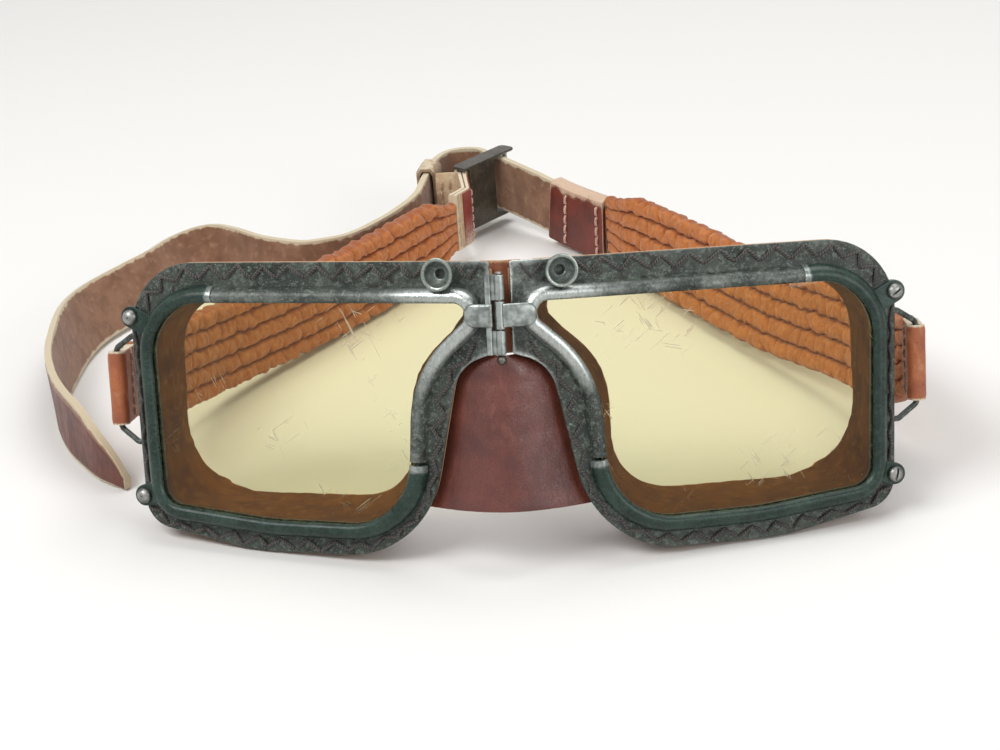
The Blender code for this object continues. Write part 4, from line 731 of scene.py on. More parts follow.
def retainer_shape():
    """The U-shaped band with pressed ends and ears."""
    trim = gap / lengths(lens_line, True)[-1]
    points = resampled(lens_line, 1.1, retainer_start + trim, retainer_end - trim)
    rows = []
    for k, (point, out) in enumerate(zip(points, ways_out(points, False))):
        near_end = min(k, len(points) - 1 - k)
        end_mark = 0.55 if near_end < 2 else 0.0
        row = []
        for d, w, edge in retainer_rows:
            p = point + out * (d if near_end else d * 0.96 + 0.04)
            depth = w + (0.06 if near_end == 0 and w < 1.0 else 0.0)
            bare = edge * 0.45 + end_mark + 0.25 * worn_near_bridge(p.x, p.y)
            row.append(((p.x, depth, p.y), (p.x, p.y, edge), bare))
        rows.append(row)
    shape = Shape().rows(rows)
    for spot in screw_spots.values():
        shape.add(ear_shape(spot, 1.24, 1.96))
    return shape


screw_radius, screw_dome, screw_seat, vent_seat = 1.9, 1.4, 0.9, 2.0


def screw_shape():
    """A slotted dome screw with its shank."""
    dome = [(0.0, screw_dome)] + [(screw_radius * math.sin(t), screw_dome * math.cos(t))
                                  for t in (math.pi / 2 * k / 9 for k in range(1, 10))]
    profile = dome + [(1.86, -0.0), (0.8, 0.0), (0.8, -3.4), (0.65, -3.55), (0.0, -3.55)]
    return capped_lathe(profile, 40, [0.9] * 5 + [0.3] * (len(profile) - 5))


def cut_slot(piece, place, number):
    """Cut the screwdriver slot."""
    cutter_mesh = bpy.data.meshes.new("slot")
    work = bmesh.new()
    bmesh.ops.create_cube(work, size=1.0)
    slant = Matrix.Rotation(math.radians(35.0 + 40.0 * number), 4, "Z")
    lift = Matrix.Translation((0.0, 0.0, screw_dome))
    size = Matrix.Diagonal((5.0, 0.5, 1.2, 1.0))
    work.transform(to_metres @ place @ lift @ slant @ size)
    work.to_mesh(cutter_mesh)
    work.free()
    cutter = bpy.data.objects.new("slot", cutter_mesh)
    bpy.context.scene.collection.objects.link(cutter)
    modifier = piece.modifiers.new("slot", "BOOLEAN")
    modifier.object = cutter
    modifier.operation = "DIFFERENCE"
    modifier.solver = "EXACT"
    bpy.context.view_layer.update()
    graph = bpy.context.evaluated_depsgraph_get()
    mesh = bpy.data.meshes.new_from_object(piece.evaluated_get(graph))
    piece.modifiers.clear()
    piece.data = mesh
    mesh.set_sharp_from_angle(angle=math.radians(35.0))
    bpy.data.objects.remove(cutter)


vent_profile = [(3.05, 3.2), (3.3, 3.36), (3.6, 3.4), (3.82, 3.3), (3.85, 3.0), (3.7, 2.7),
                (3.2, 2.3), (2.6, 1.85), (2.25, 1.6), (2.02, 1.25), (2.0, 0.9), (2.0, -1.1),
                (1.15, -1.1), (1.15, 0.9), (1.25, 1.1), (1.5, 1.2), (1.8, 1.3), (2.1, 1.45),
                (2.45, 1.72), (2.75, 2.05), (2.92, 2.45), (3.0, 2.8)]
vent_marks = [0.6, 1.0, 1.2, 0.6, 0.0, 0.0, 0.0, 0.0, 0.0, 0.0, 0.0, 0.0,
              0.0, 0.3, 0.9, 0.5, 0.2, 0.1, 0.0, 0.0, 0.1, 0.3]


lacing_pitch, lacing_edge, lacing_radius = 6.8, 0.9, 0.38


def lacing_shapes():
    """Zig-zag thread in four stretches, each leg bending down into its holes."""
    marks = lengths(flange_line, True)
    total = marks[-1]
    vent, start, stop, upper, lower = (nearest(flange_line, Vector(spot))[1] for spot in (
        (vent_spot.x, flange_top), (lacing_end, flange_top), (lacing_end, flange_foot),
        *screw_spots.values()))
    clear, keep = 3.75 / total, 3.6 / total
    if stop < start:
        stop += 1.0
    spans = {"inner": (start, vent - clear), "top": (vent + clear, upper - keep),
             "side": (upper + keep, lower - keep), "bottom": (lower + keep, stop)}
    made = {}
    for word, (first, last) in spans.items():
        count = max(2, round(2 * (last - first) * total / lacing_pitch))
        spots = []
        for k in range(count + 1):
            share = first + (last - first) * k / count
            here = at(flange_line, marks, share * total % total)
            ahead = at(flange_line, marks, (share * total + 0.3) % total)
            along = (ahead - here).normalized()
            outward = Vector((-along.y, along.x))
            foot, _ = nearest(lens_line, here)
            room = (here - foot).length - band_foot - gap - 0.45
            depth = lacing_edge if k % 2 == 0 else min(lacing_edge + 3.0, room)
            spots.append(here - outward * (depth + rng.uniform(-0.25, 0.2))
                         + along * rng.uniform(-0.55, 0.55))
        shape = Shape()
        for a, b in zip(spots, spots[1:]):
            path = []
            for k in range(7):
                t = k / 6
                p = a.lerp(b, t)
                lift = math.sin(math.pi * t) ** 0.5
                path.append((p.x, flange_front + 0.15 - 0.62 * lift, p.y))
            shape.add(tube(path, lacing_radius, 8))
        made[word] = shape
    return made


mask_limit = 93.0


def mask_shape():
    """Leather mask: flange leather and funnel wall, suede inside, smooth outside."""
    points = resampled(lens_line, 1.5)[:-1]
    under = mask_front + leather
    rows = []
    for k, (point, out) in enumerate(zip(points, ways_out(points))):
        reach = ray(point, out, flange_line) - 0.5
        if point.x + out.x * reach > mask_limit:
            reach = min(reach, max(2.1, (mask_limit - point.x) / max(out.x, 0.01)))
        up, down, side, nose = (step(way, 0.0, 1.0) for way in (out.y, -out.y, out.x, -out.x))
        total = up + down + side + nose
        depth = (up * 13.0 + down * 19.0 + side * 16.5 + nose * 11.0) / total
        away = (point - rear_middle).normalized()
        rear = rear_middle + away * ray(rear_middle, away, rear_line)
        ragged = 0.5 * wobble(k / 2.3, 3.0) + 0.35 * wobble(k / 0.9, 9.0)
        end = mask_front + depth + ragged
        wave = 0.3 * wobble(k / 6.0, 1.0)
        rim = reach + 0.35 * up

        def wall(root, top, base, shares):
            """Points of the funnel from its root to its top."""
            return [(root.lerp(top, t ** 1.2) + away * (wave * math.sin(math.pi * t)),
                     mask_front + base + (end - mask_front - base) * t, 0.0) for t in shares]

        line = [(point + out * d, w, m) for d, w, m in (
            (rim, mask_front, 1.0), (rim + 0.15, mask_front + 0.75, 1.0), (rim, under, 1.0),
            (4.4, under, 0.0), (3.1, under + 0.15, 0.0), (2.45, under + 0.8, 0.0))]
        line += wall(point + out * 2.1, rear + away * 1.8, 2.0, (0.2, 0.4, 0.6, 0.8, 0.95))
        line += [(rear + away * 1.75, end, 0.9), (rear + away * 0.9, end + 0.12, 1.0)]
        behind = len(line)
        line.append((rear + away * 0.05, end, 0.9))
        line += wall(point + out * 0.3, rear, 0.9, (0.95, 0.8, 0.6, 0.4, 0.2, 0.08))
        line += [(point + out * 0.3, mask_front + 0.4, 0.3),
                 (point + out * 0.35, mask_front, 0.6)]
        rows.append([((p.x, w, p.y), (k * 1.5, w, 0.15 + 0.25 * wobble(k / 9.0, w / 6.0)), m)
                     for p, w, m in line])
    inks = [1] * (behind - 1) + [0] * (len(line) - behind + 1)
    return Shape().rows(rows, along=True, inks=inks)


# Pieces of each half
lacings = lacing_shapes()
frame_made = frame_shape()
retainer_made = retainer_shape()
mask_made = mask_shape()
bail_x, bail_y, foot_x, foot_y, wire_radius = 101.7, 5.6, 96.4, 4.1, 0.7
bail_path = bent([(94.0, foot_y, -5.8), (foot_x, foot_y, -5.8), (bail_x, bail_y, -9.0),
                  (bail_x, bail_y, -28.6), (foot_x, foot_y, -31.8), (94.0, foot_y, -31.8)], 1.6)
for side, word in words.items():
    half = {"body": f"{word}_half", "place": half_place[side]}
    frame_made.build(f"{word}_frame_pressing", "frame_paint", [f"{word}_frame"], sharp=32.0, **half)
    retainer_made.build(f"{word}_retainer_band", "retainer_paint", [f"{word}_retainer"],
                        sharp=32.0, **half)
    for number, (row, spot) in enumerate(screw_spots.items()):
        seat = half_place[side] @ facing(spot, screw_seat)
        screw = screw_shape().build(f"{word}_{row}_dome_screw", "screw_steel",
                                    [f"{word}_{row}_screw"], f"{word}_half", seat, 30.0)
        cut_slot(screw, seat, number)
    lathe(vent_profile, vent_marks, 56).build(
        f"{word}_vent_funnel", "vent_metal", [f"{word}_vent_cup"], f"{word}_half",
        half_place[side] @ facing(vent_spot, vent_seat), 50.0)
    for row, shape in lacings.items():
        shape.build(f"{word}_{row}_thread", "lacing_thread", [f"{word}_{row}_lacing"],
                    sharp=60.0, **half)
    mask_made.build(f"{word}_mask_funnel", "mask_leather mask_outside", [f"{word}_mask"],
                    sharp=60.0, **half)
    tube(bail_path, wire_radius, 16).build(f"{word}_bail_wire", "bail_wire",
                                           [f"{word}_bail"], sharp=60.0, **half)
    frame["nodes"][f"{word}_lens"].data.materials[0] = looks["lens_glass"]
    for row in screw_spots:
        frame["nodes"][f"{word}_{row}_nut"].data.materials[0] = looks["nut_steel"]


# Hinge and nose
def bar_shape(low, high, radius, bevel=0.12):
    """A round bar along the half's vertical."""
    profile = [(0.0, high), (radius - bevel, high), (radius, high - bevel),
               (radius, low + bevel), (radius - bevel, low), (0.0, low)]
    return capped_lathe(profile, 28, [0.9, 0.9, 0.9, 0.4, 0.4, 0.9])


def pillow(inner):
    """A D-shaped hinge plate with a domed face."""
    high, out, radius = 2.7, 8.3, 2.2
    outline = rounded([(inner, high, 0.3), (inner, -high, 0.3), (out, -high, radius),
                       (out, high, radius)], 7.0, 0.6)
    middle = (inner + out) / 2
    return Shape().rows([[((middle + (p.x - middle) * share, depth, p.y * share),
                           (p.x, p.y, 0.0), edge * 0.6) for p in outline]
                         for share, depth, edge in (
                             (0.02, -1.8, 0.9), (0.45, -1.79, 0.9), (0.75, -1.74, 0.8),
                             (0.9, -1.62, 0.8), (0.97, -1.42, 0.9), (1.0, -1.2, 1.0),
                             (0.98, -1.0, 0.4), (0.93, -0.9, 0.2))])


def block(low, high):
    """A small block with bevelled edges."""
    outline = [Vector(spot) for spot in ((low[0], low[2]), (low[0], high[2]),
                                         (high[0], high[2]), (high[0], low[2]))]
    return slab(outline, low[1], high[1], 0.12, 0.3, 0.6)


knuckle_radius, pin_radius, ball_radius, pin_foot = 1.15, 0.45, 1.1, -9.3
middle_leaf = pillow(0.45).add(bar_shape(-3.2, 3.2, knuckle_radius))
outer_leaf = pillow(1.45).add(block((1.75, -1.35, -9.0), (3.0, 2.0, 9.2)))
for low, high in ((3.5, 9.2), (-9.0, -3.5)):
    outer_leaf.add(bar_shape(low, high, knuckle_radius))
    outer_leaf.add(block((0.6, -0.75, low), (2.1, 0.95, high)))
for side, leaf in ((1, middle_leaf), (-1, outer_leaf)):
    leaf.build(f"{words[side]}_hinge_plate", "hinge_metal", [f"{words[side]}_hinge_leaf"],
               f"{words[side]}_half", half_place[side], 35.0)

ball = pin_foot - math.sqrt(ball_radius ** 2 - pin_radius ** 2)
pin_profile = [(0.0, 9.95), (0.35, 9.93), (0.7, 9.84), (0.88, 9.68), (0.9, 9.5),
               (pin_radius, 9.5), (pin_radius, pin_foot)]
pin_profile += [(ball_radius * math.sin(t), ball + ball_radius * math.cos(t))
                for t in (0.43 + (math.pi - 0.43) * k / 14 for k in range(1, 14))]
pin_profile.append((0.0, ball - ball_radius))
capped_lathe(pin_profile).build("hinge_pin_turned", "pin_metal", ["hinge_pin"], "left_half",
                                leaned, 40.0)


nose_top, nose_foot, nose_least, nose_wall = 9.8, 46.0, 5.2, 1.4
strip_top, strip_tall, strip_half, strip_wall = 11.8, 21.3, 4.6, 1.4


def nose_shape():
    """Curved nose leather with folds, a painted highlight across its upper middle and a pale cut
    lower edge.
    """
    rows, columns = 46, 52
    rings, spots, marks = [], [], []
    for row in range(rows + 1):
        share = row / rows
        height = -(nose_top + (nose_foot - nose_top) * share)
        reach = ray(Vector((0.0, height)), Vector((1.0, 0.0)), flange_line)
        lip = max(nose_least, (reach if reach < no_hit else nose_least) + 0.2)
        half = lip + 1.8
        (lip_x, lip_y), (edge_x, edge_y) = (
            (out * math.cos(sweep) - behind_mask * math.sin(sweep),
             out * math.sin(sweep) + behind_mask * math.cos(sweep)) for out in (lip, half))
        middle = 3.0 + (1.8 - 3.0) * share
        line = [(-edge_x, edge_y), (-edge_x * 0.5 - lip_x * 0.5, (edge_y + lip_y) / 2)]
        for column in range(columns + 1):
            across = 2 * column / columns - 1
            y = middle + (lip_y - middle) * abs(across) ** 1.8
            fold = 0.22 * bell((share - 0.17 - 0.05 * across * across) / 0.035)
            fold += 0.16 * bell((share - 0.52 + 0.05 * across) / 0.04)
            y += fold * (1 - across * across) + 0.16 * wobble(across * 1.8, share * 2.6, 4.0)
            line.append((lip_x * across, y))
        line += [(edge_x * 0.5 + lip_x * 0.5, (edge_y + lip_y) / 2), (edge_x, edge_y)]
        edge = 0.12 if row in (0, rows) else 0.0
        rings.append([(x, y + edge, height) for x, y in line]
                     + [(x, y + nose_wall - edge, height) for x, y in line[::-1]])
        # The spot's third part is a painted highlight, brightest across the upper middle of the
        # front face.
        spots.append([(x, height, 0.5 * bell((share - 0.3) / 0.3) * (1 - abs(x) / half))
                      for x, _ in line] + [(x, height, 0.2) for x, _ in line[::-1]])
        bottom = 1.0 if row == rows else 0.0
        marks.append([bottom * 0.6] * len(line) + [bottom] * len(line))
    return Shape().loft(rings, spots, marks)


def bridge_shape():
    """Leather strip that closes the gap behind the hinge."""
    columns, rows = 16, 14
    rings = []
    for row in range(rows + 1):
        height = strip_top - strip_tall * row / rows
        line = []
        for column in range(columns + 1):
            x = (2 * column / columns - 1) * strip_half
            y = behind_mask / math.cos(sweep) + abs(x) * math.tan(sweep)
            line.append((x, y + 0.12 * wobble(x / 3, height / 3)))
        edge = 0.15 if row in (0, rows) else 0.0
        rings.append([(x, y + edge, height) for x, y in line]
                     + [(x, y + strip_wall - edge, height) for x, y in line[::-1]])
    marks = [[1.0 if k in (0, rows) else 0.0] * len(ring) for k, ring in enumerate(rings)]
    return Shape().loft(rings, None, marks)


for made, name, skin in ((nose_shape(), "nose_leather_curved", "nose_leather"),
                         (bridge_shape(), "bridge_leather_strip", "bridge_leather")):
    piece = made.build(name, skin, [skin], None, leaned, 60.0)
    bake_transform(piece)

# Headband paths; a share is a part of the bail's distance across, or of the band's depth
bail_middle = -18.8
bail_centre = {side: band_place.inverted() @ half_place[side] @ Vector((bail_x, bail_y, bail_middle))
               for side in (-1, 1)}
back_way = Vector((0.0, math.cos(lean), -math.sin(lean)))
band_depth = 190.0
panel_half = 12.5
tab_height = 18.1
casing_leather = 0.9
strap_width, strap_thickness = 17.5, 2.4
buckle_lift, strap_lift, tip_length = 3.4, 5.2, 26.0
loop_long, loop_tall, end_long, channel_width, channels = 7.8, 18.0, 4.0, 5.0, 5
elastic_tall, gathered_tall, sewn_tall = 25.0, 18.0, 16.0
panel_shares = {
    -1: ((-0.965, 0.160, 0.560, 0.0), (-0.880, 0.330, 0.200, 0.0), (-0.650, 0.540, 0.020, 0.0),
         (-0.450, 0.710, 0.000, 0.0)),
    1: ((0.970, 0.160, 0.460, 10.0), (0.870, 0.300, 0.270, 20.0), (0.690, 0.460, 0.080, 24.0),
        (0.470, 0.650, 0.015, 22.0)),
}
panel_end_shares = {-1: (-0.288, 0.862), 1: (0.215, 0.850)}
buckle_shares = (-0.182, 1.019)
free_end_shares = (
    (-0.228, 1.100, 1.00, 0.0), (-0.280, 1.107, 1.00, 0.0), (-0.332, 1.095, 1.00, 0.0),
    (-0.366, 1.063, 1.00, 0.0), (-0.384, 1.018, 0.92, 0.0), (-0.398, 0.968, 0.76, 0.0),
    (-0.415, 0.918, 0.52, 0.0), (-0.462, 0.871, 0.30, 0.0), (-0.529, 0.821, 0.12, 0.0),
    (-0.607, 0.777, 0.00, 0.0), (-0.685, 0.757, 0.00, 0.0), (-0.758, 0.752, 0.00, 0.0),
    (-0.885, 0.780, 0.00, 2.0), (-0.985, 0.819, 0.00, 6.0), (-1.073, 0.837, 0.00, 13.0),
    (-1.151, 0.799, 0.00, 20.0), (-1.205, 0.737, 0.00, 23.0), (-1.276, 0.672, 0.00, 24.0),
    (-1.350, 0.594, 0.00, 24.0), (-1.377, 0.520, 0.00, 21.0), (-1.372, 0.427, 0.00, 14.0),
    (-1.352, 0.333, 0.00, 7.0), (-1.308, 0.253, 0.00, 2.0), (-1.251, 0.190, 0.00, 0.0),
    (-1.194, 0.144, 0.00, 0.0), (-1.135, 0.104, 0.00, 0.0), (-1.085, 0.082, 0.00, 0.0),
    (-1.047, 0.069, 0.00, 0.0),
)
keeper_at = (-0.385, 1.012)


def plan_point(across, depth, height):
    """A point of the headband from its shares."""
    bail = bail_centre[1]
    return Vector((across * bail.x, bail.y + depth * band_depth, height))


def smooth_path(spots, count):
    """Evenly spaced points on a smooth curve through control points."""
    knots = [spots[0] * 2 - spots[1]] + spots + [spots[-1] * 2 - spots[-2]]
    dense = []
    for k in range(1, len(knots) - 2):
        a, b, c, d = knots[k - 1:k + 3]
        dense += [(b * 2 + (c - a) * t + (a * 2 - b * 5 + c * 4 - d) * t * t
                   + (b * 3 - a - c * 3 + d) * t * t * t) / 2
                  for t in (s / 16 for s in range(16))]
    dense.append(spots[-1])
    marks = lengths(dense)
    return [at(dense, marks, marks[-1] * k / count) for k in range(count + 1)]


def stations(path, start_way=None):
    """Place, way, width direction and outward direction along a path."""
    frames = []
    for k, spot in enumerate(path):
        way = (path[min(k + 1, len(path) - 1)].xyz - path[max(k - 1, 0)].xyz).normalized()
        if k == 0 and start_way is not None:
            way = start_way
        up = (upright - way * upright.dot(way)).normalized()
        tilt = Matrix.Rotation(-spot.w, 3, way)
        frames.append((spot.xyz, way, tilt @ up, tilt @ up.cross(way)))
    return frames


def four(spot, degrees=0.0):
    """A point and its lean together."""
    return Vector((*spot, math.radians(degrees)))


def panel_frames(side, count):
    """Stations of one elastic panel, from the sewn end to the back."""
    bail = bail_centre[side]
    start = bail + back_way * (loop_long + gap + end_long + gap)
    spots = [four(start), four(start + back_way * 4.0)]
    for across, depth, height, tilt in panel_shares[side]:
        angle = math.radians(tilt)
        level = panel_half * math.cos(angle) + (casing_leather + gap) * math.sin(angle)
        level += (bail.z - panel_half) * height
        spots.append(four(plan_point(across, depth, level), -side * tilt))
    spots.append(four(plan_point(*panel_end_shares[side], panel_half)))
    return stations(smooth_path(spots, count), back_way)


def panel_spread(side, share):
    """Width of the panel at a share of its length."""
    gathered = gathered_tall / elastic_tall
    sewn = (sewn_tall if side < 0 else tab_height) / elastic_tall
    opening, closing = step(share, 0.0, 0.14), step(1 - share, 0.0, 0.10)
    return min(gathered + (1 - gathered) * opening, sewn + (1 - sewn) * closing)


def panel_swell(share):
    """Thickness of the channels at a share of the panel's length."""
    return 0.35 + 0.65 * min(step(share, 0.0, 0.08), step(1 - share, 0.0, 0.08))


def puckers(length, seed):
    """Creases of one channel: place, depth, slant, bend, size, and the side that each favours."""
    local = random.Random(seed)
    places, here, lobe = [], local.uniform(-2.0, 0.5), 0.0
    while here < length + 4:
        deep = lobe <= 0.0
        places.append((here, local.uniform(0.65, 1.0) if deep else local.uniform(0.2, 0.6),
                       local.uniform(-0.5, 1.3), local.uniform(-1.1, 0.7),
                       local.uniform(0.8, 1.15) if deep else local.uniform(0.45, 0.7),
                       local.uniform(-0.9, 0.9)))
        if deep:
            lobe = local.uniform(3.6, 8.5)
        advance = local.uniform(0.9, 2.4)
        here += advance
        lobe -= advance
    return places


def pucker_lift(places, along, across):
    """Height left (0 to 1) by the nearest creases."""
    left = 1.0
    for place, deep, slant, bend, size, favoured in places:
        off = (along - place - slant * across * 1.5 - bend * across * across) / size
        if abs(off) < 3.0:
            fade = bell((across - favoured) / 1.25)
            left = min(left, 1.0 - deep * fade * (0.30 * bell(off / 0.4) + 0.30 * bell(off / 1.3)))
    return left


def elastic_shape(side):
    """Gathered casing with five sprung channels like ropes, puckered on both faces."""
    count, fine = 330, 12
    last = channels * fine
    frames = panel_frames(side, count)
    running = lengths([f[0] for f in frames])
    places = {(face, channel): puckers(running[-1], 31 * channel + 7 * face + side)
              for face in (-1, 1) for channel in range(channels)}
    rows = []
    for k, (spot, _, up, out) in enumerate(frames):
        spread, swell, here = panel_spread(side, k / count), panel_swell(k / count), running[k]
        row = []
        for face, number in ([(1, n) for n in range(last + 1)]
                             + [(-1, n) for n in range(last, -1, -1)]):
            channel = min(number // fine, channels - 1)
            part = number / fine - channel - 0.5
            arch = math.sqrt(max(0.0, 1 - (2 * abs(part)) ** 2.4))
            lift = pucker_lift(places[(face, channel)], here, part * 2 * face)
            sewn = (channel + round(part)) if abs(part) > 0.49 else channel
            drift = 0.75 * wobble(here / 3.4, sewn * 3.0, 2.0)
            drift += 0.3 * wobble(here / 1.2, sewn * 5.0, 7.0)
            wide = (channel + part - 2) * channel_width + drift * (1 - 0.4 * abs(part))
            edge = step(abs(wide), 8.5, panel_half)
            wide = spread * max(-panel_half, min(panel_half, wide * (
                1 - edge * 0.10 * (1.15 - lift))))
            plump = 1.0 + 0.16 * wobble(here / 4.5, channel * 4.0, face * 3.0)
            proud = 0.85 + 2.0 * arch * lift * swell * plump
            proud += 0.14 * wobble(here / 1.3, wide / 1.2, 5) * arch
            if number in (0, last):
                proud = 0.5
            # The spot's third part, how proud the surface is, also sets the painted shade in the
            # folds.
            row.append((spot + out * (face * proud) + up * wide, (here, wide, arch * lift),
                        1.0 - arch * lift))
        rows.append(row)
    return Shape().rows(rows)


def spring_shapes(side):
    """Five springs inside a panel."""
    frames = panel_frames(side, 60)
    whole = Shape()
    for channel in range(channels):
        middle = (channel - 2) * channel_width
        path = [spot + up * (middle * panel_spread(side, k / 60)) for k, (spot, _, up, _)
                in enumerate(frames)]
        whole.add(tube(path, 1.1, 8, shrink=lambda s: 0.8 * panel_swell(s)))
    return whole


def folded(outer, inner, low, high, count, bow):
    """Leather folded round a bar: a strip between two lines, tall from low to high."""
    rows = []
    run = lengths(outer)
    for k, (o, i) in enumerate(zip(outer, inner)):
        end = k in (0, len(outer) - 1)
        row = []
        for line, other, turn in ((o, i, 1), (i, o, -1)):
            for number in range(count + 1):
                t = number / count if turn > 0 else 1 - number / count
                edge = number in (0, count)
                height = low + (high - low) * t
                pull = bow * wobble(run[k] / 4, height / 6, turn)
                p = line.lerp(other, 0.12) if edge else line + (line - other) * pull * 0.1
                row.append(((p.x, p.y, height),
                            (run[k], height, 0.3 + 0.3 * wobble(run[k] / 3, height / 3)),
                            1.0 if edge or end else 0.0))
        rows.append(row)
    return Shape().rows(rows)


def rolled(bar, base, outer, inner):
    """Two lines round a bar, each from a radius and half the angle of its mouth at base."""
    return [[bar + Vector((math.cos(turn), math.sin(turn))) * radius for turn in (
        base - mouth - (2 * math.pi - 2 * mouth) * k / 24 for k in range(25))]
        for radius, mouth in (outer, inner)]


loop_half = 2.0


def loop_shape():
    """Leather rolled round the bail, its two flaps sewn together behind."""
    hole, roll = 1.0, 2.3
    begin = math.asin(loop_half / roll)
    flaps = [(loop_half, loop_long + (roll * math.cos(begin) - loop_long) * t,
              0.06, loop_long + (hole - loop_long) * t) for t in (0.0, 0.25, 0.5, 0.75)]
    outer, inner = rolled(Vector((0.0, 0.0)), math.pi / 2, (roll, begin), (hole, 0.06))
    outer = ([Vector((x, y)) for x, y, _, _ in flaps] + outer
             + [Vector((-x, y)) for x, y, _, _ in flaps[::-1]])
    inner = ([Vector((x, y)) for _, _, x, y in flaps] + inner
             + [Vector((-x, y)) for _, _, x, y in flaps[::-1]])
    return folded(outer, inner, -loop_tall / 2, loop_tall / 2, 14, 0.6)


loop_made = loop_shape()
loop_thread = stitch_row([stitch for face in (1, -1) for stitch in seam(
    (face * loop_half, 5.9), -8.0, 6, 2.75, 2.1, (face * 0.3, 0.0))], 0.24)


def end_shape(side):
    """Sewn leather end between a loop and its elastic, two layers with a dark seam."""
    start = bail_centre[side] + back_way * (loop_long + gap)
    frames = stations([four(start + back_way * (end_long * k / 6)) for k in range(7)], back_way)
    section = ((0.05, 8.9, 1.0), (1.6, 9.0, 1.0), (1.95, 8.7, 0.4), (2.0, 4.5, 0.0),
               (2.0, 0.0, 0.0), (2.0, -4.5, 0.0), (1.95, -8.7, 0.4), (1.6, -9.0, 1.0),
               (0.05, -8.9, 1.0), (0.05, 0.0, 0.0))
    whole = Shape()
    for face in (1, -1):
        whole.rows([[(spot + out * (face * thick) + up * wide, (k, 0.0, 0.0), mark)
                     for thick, wide, mark in section]
                    for k, (spot, _, up, out) in enumerate(frames)])
    return whole


for side, word in words.items():
    bodies = ("headband",) * 3 if side < 0 else ("right_loop", "right_end", None)
    roll_place = band_place @ Matrix.Translation(bail_centre[side]) @ Matrix.Rotation(
        -lean, 4, "X")
    loop_made.build(f"{word}_rolled_loop", "loop_leather", [f"{word}_strap_loop"], bodies[0],
                    roll_place)
    loop_thread.build(f"{word}_loop_stitches", "stitch_thread", (), bodies[0], roll_place, 60.0)
    end_shape(side).build(f"{word}_sewn_leather", "loop_leather", [f"{word}_sewn_end"],
                          bodies[1], sharp=40.0)
    elastic = elastic_shape(side).build(
        f"{word}_gathered_elastic", "elastic_leather",
        [f"{word}_elastic_inner", f"{word}_elastic_outer"], bodies[2], sharp=50.0)
    springs = spring_shapes(side).build(
        f"{word}_casing_springs", "spring_steel",
        [f"{word}_spring_{k}" for k in range(1, channels + 1)], bodies[2], sharp=50.0)
    if side > 0:
        path = panel_frames(1, 40)
        for piece in (elastic, springs):
            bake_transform(piece)

# Buckle, tab and strap
buckle_turn = math.radians(54.0)
buckle_way = Vector((math.cos(buckle_turn), math.sin(buckle_turn), 0.0))
buckle_out = Vector((-math.sin(buckle_turn), math.cos(buckle_turn), 0.0))
buckle_sheet, buckle_length, buckle_width, buckle_plate = 0.9, 25.0, 5.6, 12.4
tab_wall, bar_radius = 1.2, 0.8
buckle_top = 2 * buckle_sheet + tab_height + 4 * gap
tab_bar_along = -(buckle_length / 2 - 2.2)
end_bar_along = buckle_length / 2 - 1.1
bar_out = buckle_sheet + gap + tab_wall + gap + bar_radius
tab_low = 2.8 + buckle_sheet + 0.9
plate_along = buckle_width * 0.45 - buckle_length / 2


def buckle_point(along, out, height=0.0):
    """A point of the buckle in the headband's plan."""
    return plan_point(*buckle_shares, 0.0) + buckle_way * along + buckle_out * out + Vector(
        (0.0, 0.0, buckle_lift + height))


def standing(outline, low, high, edge, mark=0.2):
    """A plate whose outline lies in the plan."""
    flat = slab(outline, low, high, edge, mark, 0.8)
    return Shape().add(flat, Matrix(((1, 0, 0, 0), (0, 0, 1, 0), (0, 1, 0, 0), (0, 0, 0, 1))))


def buckle_shape():
    """U-shaped sheet buckle: a plate with two ears."""
    half = buckle_length / 2
    ear = rounded([(-half, 0.0, 1.4), (half, 0.0, 1.4), (half, buckle_width, 1.87),
                   (-half, buckle_width, 1.87)], 6.0, 1.0)
    outline = [Vector(buckle_point(p.x, p.y).xy) for p in ear]
    shape = standing(outline, buckle_lift, buckle_lift + buckle_sheet, 0.22)
    high = buckle_lift + buckle_top
    shape.add(standing(outline, high - buckle_sheet, high, 0.22))
    rings = []
    for row in range(13):
        t = row / 12
        height = buckle_lift + buckle_sheet / 2 + (buckle_top - buckle_sheet) * t
        waist = 0.35 * math.sin(math.pi * t)
        near, far = plate_along + waist, plate_along + buckle_plate - waist
        line = ((near, 0.0), (near + 0.25, 0.0), (far - 0.25, 0.0), (far, 0.0),
                (far, buckle_sheet), (near, buckle_sheet))
        rings.append([Vector((*buckle_point(*p).xy, height)) for p in line])
    return shape.loft(rings, None, [[0.7, 0.2, 0.2, 0.7, 0.6, 0.6]] * len(rings))


buckle_shape().build("buckle_sheet", "buckle_metal", ["buckle_body"], sharp=30.0)
for name, along in (("tab", tab_bar_along), ("end", end_bar_along)):
    rod = bar_shape(buckle_sheet + gap, buckle_top - buckle_sheet - gap, bar_radius, 0.2)
    rod.build(f"buckle_{name}_rod", "pin_metal", [f"buckle_{name}_bar"],
              place=band_place @ Matrix.Translation(buckle_point(along, bar_out)), sharp=35.0)

# The tab's run in the plan, from the elastic by a knee to the buckle's bar
tab_bar = Vector(buckle_point(tab_bar_along, bar_out).xy)
tab_way = Vector(panel_frames(-1, 16)[-1][1].xy).normalized()
tab_foot = Vector(plan_point(*panel_end_shares[-1], 0.0).xy) + tab_way * gap
tab_hole, tab_roll, tab_half = bar_radius + gap, bar_radius + gap + tab_wall, 1.4
tab_knee = tab_foot + tab_way * (tab_foot - tab_bar).length / 3
tab_side = Vector((-tab_way.y, tab_way.x))
to_bar = (tab_bar - tab_knee).normalized()
bar_side = Vector((-to_bar.y, to_bar.x))
tab_mouth = math.asin(tab_half / tab_roll)
tab_base = math.atan2(-to_bar.y, -to_bar.x)


def on_roll(turn):
    """A point on the outside of the tab's roll, at an angle in the plan."""
    return tab_bar + Vector((math.cos(turn), math.sin(turn))) * tab_roll


